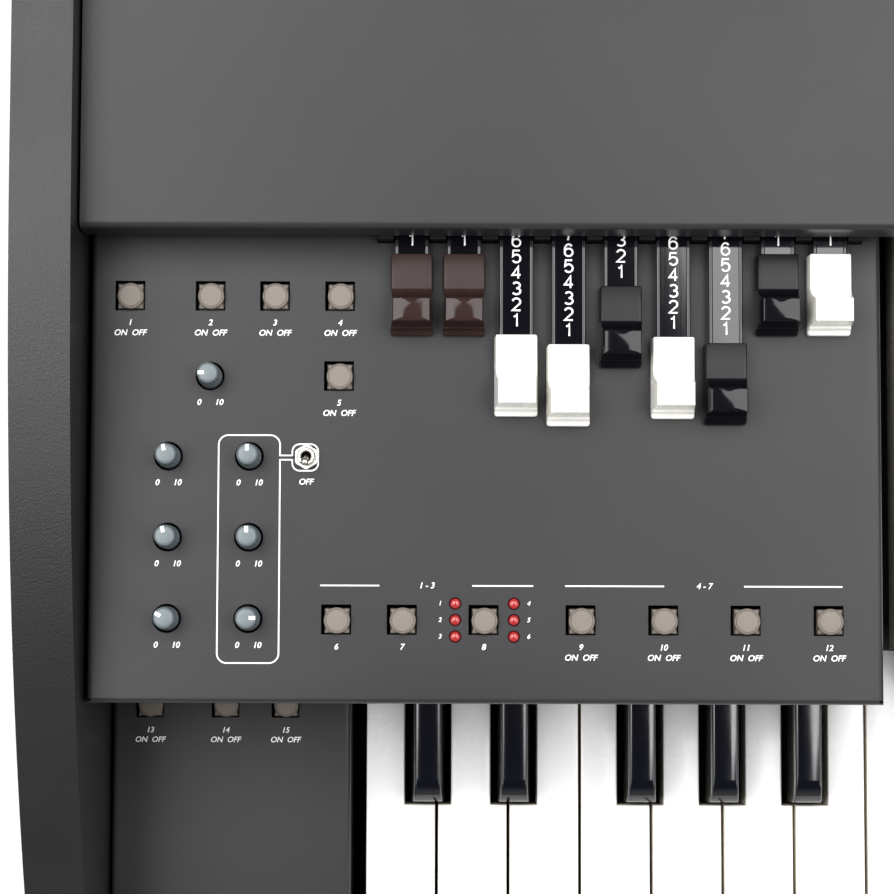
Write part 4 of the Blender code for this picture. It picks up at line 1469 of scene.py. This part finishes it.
@dataclass
class Drawbars:
    """The nine drawbars: a moulded knob with a raised finger grip, on a numbered glossy bar."""

    tones: tuple = (Tone.BROWN, Tone.BROWN, Tone.WHITE, Tone.WHITE, Tone.BLACK, Tone.WHITE, Tone.BLACK,
                    Tone.BLACK, Tone.WHITE)
    length: float = 0.0243
    bottom: float = 0.0005
    half_width: float = 0.00655
    taper: float = 0.064
    corner: float = 0.0004
    front_corner: float = 0.0009
    rear_corner: float = 0.0005
    block_top: float = 0.0068
    block_front: float = 0.0101
    block_edge: float = 0.0004
    block_bevel: float = 0.00012
    grip_rear: float = 0.0146
    grip_front: float = 0.0213
    grip_top: float = 0.0155
    grip_middle: float = 0.0180
    # The grip's rear edge, as (behind its rear, height)
    grip_edge: tuple = ((-0.0004, 0.0155), (-0.0001, 0.01535), (0.0001, 0.0149))
    hollow_length: float = 0.0043
    hollow_rise: float = 0.0082
    hollow_power: float = 2.6
    hollow_shares: tuple = (0.08, 0.2, 0.35, 0.5, 0.65, 0.8, 0.9)
    crown: float = 0.00033
    chamfer_slope: float = 0.364
    across_steps: int = 8
    bar_length: float = 0.1019
    bar_overlap: float = 0.002
    bar_half: float = 0.0051
    strip_half: float = 0.0039
    bar_bottom: float = 0.0021
    strip_top: float = 0.0055
    rail_rise: float = 0.0003
    first_digit: float = 0.0044
    digit_pitch: float = 0.00484
    digit_height: float = 0.00415
    digit_width: float = 0.00300
    digit_stroke: float = 0.00054
    # The foot of the knob's front, and the step below its grip, as (y, height)
    front: tuple = (
        (-0.0243, 0.0021), (-0.02425, 0.0024), (-0.0241, 0.0026), (-0.0238, 0.0027), (-0.0234, 0.0028),
        (-0.0230, 0.0030), (-0.0228, 0.0033), (-0.0226, 0.0045), (-0.0225, 0.0048), (-0.0223, 0.0050),
        (-0.0219, 0.0051), (-0.0217, 0.0055), (-0.02145, 0.0110), (-0.02135, 0.0145),
    )

    def stations(self) -> list[Place]:
        """Draw the knob's top line, front to rear, without the grip's crown.

        Returns:
            The line as (y, height) points.
        """
        edge = self.grip_top - self.crown
        chamfer = self.crown / self.chamfer_slope
        block, bevel = self.block_top, self.block_bevel
        line = [*self.front]
        line += [(-self.grip_front + chamfer * share, edge + self.crown * share)
                 for share in (0.0, 0.2, 0.4, 0.6, 0.8, 1.0)]
        line.append((-self.grip_middle, self.grip_top))
        line += [(along - self.grip_rear, height) for along, height in self.grip_edge]
        line += [(-self.block_front - self.hollow_length * (1 - share),
                  block + self.hollow_rise * (1 - share) ** self.hollow_power)
                 for share in self.hollow_shares]
        line += [(-self.block_front, block), (-self.block_edge, block), (-bevel, block - bevel)]
        return line + [(0.0, block - self.block_edge)]

    def plan_inset(self, y: float) -> float:
        """Find how much the rounded corners, seen from above, take off each side.

        Args:
            y: The place along the knob, its rear edge being at 0.

        Returns:
            The width that is taken off.
        """
        for corner, depth in ((self.front_corner, y + self.length), (self.rear_corner, -y)):
            if depth < corner:
                return corner - math.sqrt(max(0.0, depth * (2 * corner - depth)))
        return 0.0

    def section(self, y: float, top: float) -> list[Point]:
        """Draw one cross-section of the knob.

        Args:
            y: Where it stands, the rear edge being at 0.
            top: How high it reaches.

        Returns:
            Its points, from the left foot over the top to the right foot.
        """
        corner = min(self.corner, (top - self.bottom) / 3)
        foot = self.half_width - self.plan_inset(y)
        inner = foot - self.taper * (top - corner - self.bottom) - corner
        over = arc((-inner, top - corner), corner, 180, 90, 4)
        over += [(inner * (i / self.across_steps - 1), top) for i in range(1, self.across_steps * 2)]
        over += arc((inner, top - corner), corner, 90, 0, 4)
        if top >= self.grip_top - self.crown - TOUCHING:
            domed = [self.grip_top - self.crown * min(1.0, abs(x) / inner) ** 2 for x, _ in over]
            over = [(x, z - max(0.0, top - height)) for (x, z), height in zip(over, domed)]
        return [(x, y, z) for x, z in [(-foot, self.bottom), *over, (foot, self.bottom)]]

    def bar(self) -> Mesh:
        """Make the glossy bar.

        Returns:
            A flat strip between two rounded rails.
        """
        middle, radius = (self.bar_half + self.strip_half) / 2, (self.bar_half - self.strip_half) / 2
        left = [(-self.bar_half, self.bar_bottom)]
        left += oval((-middle, self.strip_top), (radius, self.rail_rise), 180, 0, 12)
        section = left + [(-x, z) for x, z in reversed(left)]
        rings = [[(x, y, z) for x, z in section] for y in (-self.bar_overlap, self.bar_length)]
        return lofted("drawbar_bar", rings, sharp=40.0)

    def strokes(self) -> list[list[list[Place]]]:
        """Draw the plain digits 1 to 8.

        Returns:
            Each digit's lines, in units of its half width and half height.
        """
        return [
            [[(-0.62, 0.62), (-0.10, 0.72), (0.15, 1.0), (0.15, -1.0)]],
            [oval((0.0, 0.42), (0.95, 0.58), 165, -35) + [(-0.98, -1.0), (1.0, -1.0)]],
            [oval((0.0, 0.50), (0.86, 0.50), 150, -90), oval((0.0, -0.48), (0.98, 0.52), 90, -150)],
            [[(0.45, -1.0), (0.45, 1.0), (-1.0, -0.42), (1.0, -0.42)]],
            [[(0.85, 1.0), (-0.72, 1.0), (-0.90, 0.0)] + oval((0.0, -0.34), (0.98, 0.66), 140, -150)],
            [oval((0.0, 0.02), (0.98, 0.98), 40, 200), oval((0.0, -0.36), (0.98, 0.64), 0, 360)],
            [[(-0.95, 1.0), (0.98, 1.0), (0.30, 0.20), (-0.25, -1.0)]],
            [oval((0.0, 0.50), (0.80, 0.50), 0, 360), oval((0.0, -0.48), (0.98, 0.52), 0, 360)],
        ]

    def numbers(self) -> Mesh:
        """Make the white digits on the strip.

        Returns:
            The digits, the first one nearest the knob.
        """
        sketch = bmesh.new()
        reach_x = (self.digit_width - self.digit_stroke) / 2
        reach_y = (self.digit_height - self.digit_stroke) / 2
        for i, lines in enumerate(self.strokes()):
            middle = self.first_digit + i * self.digit_pitch
            for line in lines:
                path = [(x * reach_x, middle + y * reach_y) for x, y in line]
                closed = math.dist(path[0], path[-1]) < TOUCHING
                path = path[:-1] if closed else path
                ribbon_into(sketch, path, self.digit_stroke, self.strip_top, closed)
        return shaped("drawbar_numbers", sketch)

    def build(self) -> None:
        """Make the nine drawbars at the places that the frame gives."""
        bar, numbers = self.bar(), self.numbers()
        sections = [self.section(y, top) for y, top in self.stations()]
        knobs = {tone: lofted("drawbar_knob", sections, sharp=28.0) for tone in Tone}
        for number, tone in enumerate(self.tones, 1):
            node = f"drawbar_{number}"
            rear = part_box(node)[0].y + self.length
            where = Matrix.Translation((middle_of(node).x, rear, UPPER_TOP))
            slot = "drawbar_" + tone.name.lower()
            add_piece(node + "_knob", knobs[tone], node, tone.value, node, where)
            add_piece(node + "_bar", bar, node, BAR_BLACK, None, where)
            add_piece(node + "_numbers", numbers, node, WHITE_INK, None, where)


@dataclass
class Manual:
    """One keyboard of 49 keys, from C to C."""

    name: str
    origin: float
    front: float
    top: float
    bodies: list[str]
    octave: float = 0.1645
    naturals: int = 29
    gap: float = 0.0010
    height: float = 0.018
    reach: float = 0.204
    head: float = 0.050
    lip_round: float = 0.0026
    edge_round: float = 0.0006
    notch: float = 0.0152
    sharp_centres: tuple = (0.0206, 0.0488, 0.0904, 0.1174, 0.1445)
    sharp_after: tuple = (0, 1, 3, 4, 5)
    sharp_foot: float = 0.0053
    sharp_head: float = 0.0043
    sharp_rise: float = 0.0110
    sharp_sink: float = 0.008
    sharp_gap: float = 0.0012
    sharp_corner: float = 0.0009
    sharp_crown: float = 0.0001
    # The slope of a sharp's front, as (distance, height)
    slope: tuple = ((0.0, 0.0050), (0.0004, 0.0066), (0.0030, 0.0094), (0.0050, 0.0106), (0.0075, 0.0110))
    notes: tuple = ("c", "d", "e", "f", "g", "a", "b")
    shapes: dict = field(default_factory=dict)
    replaced: set = field(default_factory=set)

    @property
    def pitch(self) -> float:
        """The width of a natural with its gap."""
        return self.octave / len(self.notes)

    def cuts(self, index: int) -> Place:
        """Find how far the sharps cut into a natural.

        Args:
            index: The natural's number, counted from 0.

        Returns:
            The cuts on its left and on its right.
        """
        place = index % len(self.notes)
        left = right = 0.0
        for after, centre in zip(self.sharp_after, self.sharp_centres):
            if after == place - 1 and index > 0:
                left = max(0.0, centre + self.notch / 2 - place * self.pitch)
            if after == place and index < self.naturals - 1:
                right = max(0.0, (place + 1) * self.pitch - (centre - self.notch / 2))
        return left, right

    def natural(self, index: int) -> Mesh:
        """Make a natural, or find the mesh of one with the same shape.

        Args:
            index: The natural's number, counted from 0.

        Returns:
            Its mesh, with its front left corner on the origin and its top at 0.
        """
        cut_left, cut_right = self.cuts(index)
        key = (round(cut_left, 5), round(cut_right, 5))
        if key in self.shapes:
            return self.shapes[key]
        left, right = self.gap / 2, self.pitch - self.gap / 2
        rear_left = left + max(0.0, cut_left - self.gap / 2)
        rear_right = right - max(0.0, cut_right - self.gap / 2)
        points = [(left, 0.0), (right, 0.0)]
        if cut_right > 0:
            points += [(right, self.head), (rear_right, self.head)]
        points += [(rear_right, self.reach), (rear_left, self.reach)]
        if cut_left > 0:
            points += [(rear_left, self.head), (left, self.head)]
        sketch = bmesh.new()
        loft_into(sketch, [[(x, y, z) for x, y in points] for z in (-self.height, 0.0)])
        lip = [edge for edge in sketch.edges
               if all(abs(v.co.z) < TOUCHING and v.co.y < TOUCHING for v in edge.verts)]
        round_edges(sketch, lip, self.lip_round, 6)
        upper = [edge for edge in sketch.edges if all(abs(v.co.z) < TOUCHING for v in edge.verts)
                 and edge.is_manifold and edge.calc_face_angle(0) > 1.0]
        round_edges(sketch, upper, self.edge_round, 3)
        self.shapes[key] = shaped(self.name + "_natural", sketch, sharp=40.0)
        return self.shapes[key]

    def sharp(self) -> Mesh:
        """Make a sharp.

        Returns:
            Its mesh, centred on X, with the naturals' front edge at Y 0 and their top at 0.
        """
        start = self.head + self.sharp_gap
        layout = [(start + along, rise) for along, rise in self.slope] + [(self.reach, self.sharp_rise)]
        foot, r, crown = self.sharp_foot, self.sharp_corner, self.sharp_crown
        rings = []
        for y, rise in layout:
            lean = foot + (self.sharp_head - foot) * rise / self.sharp_rise
            side = [(-foot, -self.sharp_sink), (-foot, 0.0)] + arc((r - lean, rise - r), r, 180, 90, 4)
            side.append((-lean * 0.4, rise + crown * 0.6))
            section = side + [(0.0, rise + crown)] + [(-x, z) for x, z in reversed(side)]
            rings.append([(x, y, z) for x, z in section])
        return lofted(self.name + "_sharp", rings, sharp=40.0)

    def add_key(self, note: str, octave: int, mesh: Mesh, x: float, finish: Finish) -> None:
        """Put one key in the scene, on its own body or on the joined one.

        Args:
            note: The key's note, such as c_sharp.
            octave: Its octave, counted from 0.
            mesh: The key's mesh.
            x: Where the mesh's origin goes.
            finish: The key's finish.
        """
        own = f"{self.name}_key_{note}"
        body = own if own in self.bodies and octave == 0 else self.bodies[-1]
        stands_for = None if body in self.replaced else body
        self.replaced.add(body)
        where = Matrix.Translation((x, self.front, self.top))
        add_piece(f"{self.name}_{note}_{octave + 1}", mesh, body, finish, stands_for, where)

    def build(self) -> None:
        """Make all the keys."""
        count = len(self.notes)
        for index in range(self.naturals):
            x = self.origin + index * self.pitch
            self.add_key(self.notes[index % count], index // count, self.natural(index), x, KEY_WHITE)
        sharp = self.sharp()
        for octave in range(self.naturals // count):
            for after, centre in zip(self.sharp_after, self.sharp_centres):
                x = self.origin + octave * self.octave + centre
                self.add_key(self.notes[after] + "_sharp", octave, sharp, x, KEY_BLACK)


@dataclass
class PanelPrint:
    """The white print: frames, section lines, and plain numbers in the places of labels."""

    line: float = 0.00044
    letter: float = 0.0025
    small: float = 0.0019
    slant: float = 0.22
    weight: float = 0.016
    frame_low: Place = (0.0584, 0.0120)
    frame_high: Place = (0.0769, 0.0805)
    frame_corner: float = 0.0029
    tab_low: Place = (0.0806, 0.0698)
    tab_high: Place = (0.0884, 0.0778)
    tab_corner: float = 0.0022
    bridge: Place = (0.0731, 0.0744)
    section_height: float = 0.0353
    sections: tuple = ((0.0893, 0.1070), (0.1349, 0.1532), (0.1628, 0.1925), (0.2165, 0.2460))
    section_numbers: tuple = (("1 - 3", 0.1212), ("4 - 7", 0.2045))
    toggle_mark: Place = (0.0847, 0.0664)
    knob_drop: float = 0.0080
    upper_drops: Place = (0.0082, 0.0113)
    lower_drops: Place = (0.0086, 0.0117)
    lamp_shifts: Place = (-0.0046, 0.0044)

    def corner(self, low: Place, high: Place, radius: float, start: float) -> list[Place]:
        """Draw one rounded corner of a frame.

        Args:
            low: The frame's lower left corner.
            high: Its upper right corner.
            radius: The rounding.
            start: The angle in degrees at which it starts: 0, 90, 180 or 270.

        Returns:
            Its points, which go round to the left.
        """
        u = high[0] - radius if start in (0, 270) else low[0] + radius
        v = high[1] - radius if start in (0, 90) else low[1] + radius
        return arc((u, v), radius, start, start + 90)

    def outline(self) -> list[Place]:
        """Draw the line round the three knobs and the toggle, joined by a narrow bridge.

        Returns:
            The line as XY points in the world.
        """
        right, left = self.frame_high[0], self.tab_low[0]
        lower, upper = self.bridge
        points = [(right, upper)]
        for start in (0, 90, 180, 270):
            points += self.corner(self.frame_low, self.frame_high, self.frame_corner, start)
        points += [(right, lower), (left, lower)]
        for start in (180, 270, 0, 90):
            points += self.corner(self.tab_low, self.tab_high, self.tab_corner, start)
        points.append((left, upper))
        return [tuple(on_panel(point, 0.0).xy) for point in points]

    def say(self, sketch: Sketch, words: str, where: Vector, size: float) -> None:
        """Print a few characters on a panel."""
        letters_into(sketch, words, size, where, self.slant, self.weight)

    def label(self, sketch: Sketch, node: str, number: int, height: float, drops: Place) -> None:
        """Print a button's number, and ON OFF below it where it has them.

        Args:
            sketch: The bmesh that gets the print.
            node: The button's CAD node.
            number: Its number.
            height: The panel's top.
            drops: How far in front of the button the two lines stand.
        """
        lines = [str(number)] if node.startswith("vibrato") else [str(number), "ON  OFF"]
        for words, drop in zip(lines, drops):
            self.say(sketch, words, button_middle(node, height) - Vector((0, drop, 0)), self.letter)

    def upper(self) -> Mesh:
        """Make the upper panel's print.

        Returns:
            The print.
        """
        sketch = bmesh.new()
        ribbon_into(sketch, self.outline(), self.line, UPPER_TOP, closed=True)
        for ends in self.sections:
            path = [tuple(on_panel((u, self.section_height), 0.0).xy) for u in ends]
            ribbon_into(sketch, path, self.line, UPPER_TOP)
        for words, u in self.section_numbers:
            self.say(sketch, words, on_panel((u, self.section_height), UPPER_TOP), self.letter)
        for number, node in enumerate(UPPER_BUTTONS, 1):
            self.label(sketch, node, number, UPPER_TOP, self.upper_drops)
        for node in KNOB_TURNS:
            middle = pivot_of(node)
            where = Vector((middle.x, middle.y - self.knob_drop, UPPER_TOP))
            self.say(sketch, "0      10", where, self.letter)
        self.say(sketch, "OFF", on_panel(self.toggle_mark, UPPER_TOP), self.letter)
        columns = Lamps().columns
        for number, (u, v) in enumerate(Lamps().places(), 1):
            shift = self.lamp_shifts[columns.index(u)]
            self.say(sketch, str(number), on_panel((u + shift, v), UPPER_TOP), self.small)
        return shaped("upper_panel_print", sketch)

    def lower(self) -> Mesh:
        """Make the lower panel's print.

        Returns:
            The print.
        """
        sketch = bmesh.new()
        for number, node in enumerate(LOWER_BUTTONS, len(UPPER_BUTTONS) + 1):
            self.label(sketch, node, number, LOWER_TOP, self.lower_drops)
        return shaped("lower_panel_print", sketch)

    def build(self) -> None:
        """Make the print of both panels."""
        add_piece("upper_panel_print", self.upper(), "case", WHITE_INK)
        add_piece("lower_panel_print", self.lower(), "case", WHITE_INK)


# The studio

@dataclass
class SoftBox:
    """One soft box above the organ, which faces down or leans towards it."""

    name: str
    place: Point
    size: Place
    turn: float
    power: float
    lean: float = 0.0

    def build(self) -> None:
        """Put the light in the scene."""
        lamp = bpy.data.lights.new(self.name, "AREA")
        lamp.shape = "RECTANGLE"
        lamp.size, lamp.size_y = self.size
        lamp.energy = self.power
        holder = in_scene(self.name, lamp)
        holder.location = self.place
        holder.rotation_euler = (0, math.radians(self.lean), math.radians(self.turn))


@dataclass
class Studio:
    """The camera, the lights and the pale floor."""

    camera_place: Point = (-0.3571, -0.0787, 0.9677)
    camera_tilt: float = 4.6
    camera_roll: float = 0.17
    lens: float = 109.6
    sensor: float = 36.0
    nearest: float = 0.05
    floor_reach: float = 6.0
    floor_shade: float = 0.95
    floor_roughness: float = 0.8
    box_sides: Place = (0.705, 0.719)
    box_height: float = 1.7
    box_forward: float = 0.291
    box_size: Place = (1.0, 1.28)
    box_turn: float = 16.9
    box_powers: Place = (34.4, 29.2)
    fill_side: float = 1.50
    fill_height: float = 1.35
    fill_forward: float = -0.55
    fill_size: Place = (1.0, 1.2)
    fill_turn: float = 20.0
    fill_lean: float = 50.0
    fill_power: float = 10.7
    sky_low: float = 0.42
    sky_high: float = 0.07
    sky_span: Place = (0.25, 0.75)

    def camera(self) -> None:
        """Put the camera above the control panel, looking almost straight down."""
        data = bpy.data.cameras.new("camera")
        data.lens = self.lens
        data.sensor_width = self.sensor
        data.clip_start = self.nearest
        holder = in_scene("camera", data)
        holder.location = self.camera_place
        holder.rotation_euler = (math.radians(self.camera_tilt), 0, math.radians(self.camera_roll))
        bpy.context.scene.camera = holder

    def lights(self) -> None:
        """Hang two soft boxes on each side, with a dark wedge between the upper ones."""
        middle = self.camera_place[0]
        for name, side, reach, power in zip(("left", "right"), (-1, 1), self.box_sides, self.box_powers):
            above = (middle + side * reach, self.box_forward, self.box_height)
            SoftBox(name + "_box", above, self.box_size, side * self.box_turn, power).build()
            beside = (middle + side * self.fill_side, self.fill_forward, self.fill_height)
            SoftBox(name + "_fill", beside, self.fill_size, -side * self.fill_turn, self.fill_power,
                    side * self.fill_lean).build()

    def room(self) -> None:
        """Light the room from all around, more from below than from above."""
        world = bpy.data.worlds.new("world")
        bpy.context.scene.world = world
        world.use_nodes = True
        sheet = NodeSheet(world.node_tree)
        background = world.node_tree.nodes["Background"]
        direction = sheet.add("ShaderNodeTexCoord").outputs["Generated"]
        height = sheet.add("ShaderNodeSeparateXYZ", {0: direction}).outputs["Z"]
        strength = sheet.ramp(height, self.sky_span, (self.sky_low, self.sky_high))
        sheet.join(strength, background.inputs["Strength"])
        background.inputs["Color"].default_value = (1.0, 1.0, 1.0, 1.0)

    def floor(self) -> None:
        """Lay the pale floor."""
        sketch = bmesh.new()
        bmesh.ops.create_grid(sketch, x_segments=1, y_segments=1, size=self.floor_reach)
        mesh = stored("floor", sketch)
        pale = bpy.data.materials.new("pale_floor")
        pale.use_nodes = True
        shader = pale.node_tree.nodes["Principled BSDF"]
        shader.inputs["Base Color"].default_value = (*[self.floor_shade] * 3, 1.0)
        shader.inputs["Roughness"].default_value = self.floor_roughness
        mesh.materials.append(pale)
        in_scene("floor", mesh)

    def build(self) -> None:
        """Make the studio."""
        scene = bpy.context.scene
        scene.view_settings.view_transform = "Standard"
        scene.cycles.use_denoising = True
        for step in (self.camera, self.lights, self.room, self.floor):
            step()


def manuals() -> list[Manual]:
    """Place both keyboards where the frame has them.

    Returns:
        The lower and the upper manual.
    """
    low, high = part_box("lower_key_c")
    own = [joint["child"] for joint in frame["joints"] if joint["child"].startswith("lower_key_")]
    lower = Manual("lower", low.x - Manual.gap / 2, low.y, high.z, own + ["lower_keys_upward"])
    low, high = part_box("upper_keys")
    upper = Manual("upper", low.x - Manual.gap / 2, low.y, high.z - Manual.sharp_rise, ["upper_keys"])
    return [lower, upper]


def main() -> None:
    """Build the organ and its studio."""
    logging.basicConfig(level=logging.INFO, format="%(message)s")
    Studio().build()
    for assembly in (Cheeks(), Base(), RearCover(), FoldedPanels(), PushButtons(), RotaryKnobs(),
                     ToggleSwitch(), Lamps(), Drawbars(), *manuals(), PanelPrint()):
        LOG.info("%s:", type(assembly).__name__)
        assembly.build()


if __name__ == "__main__":
    main()
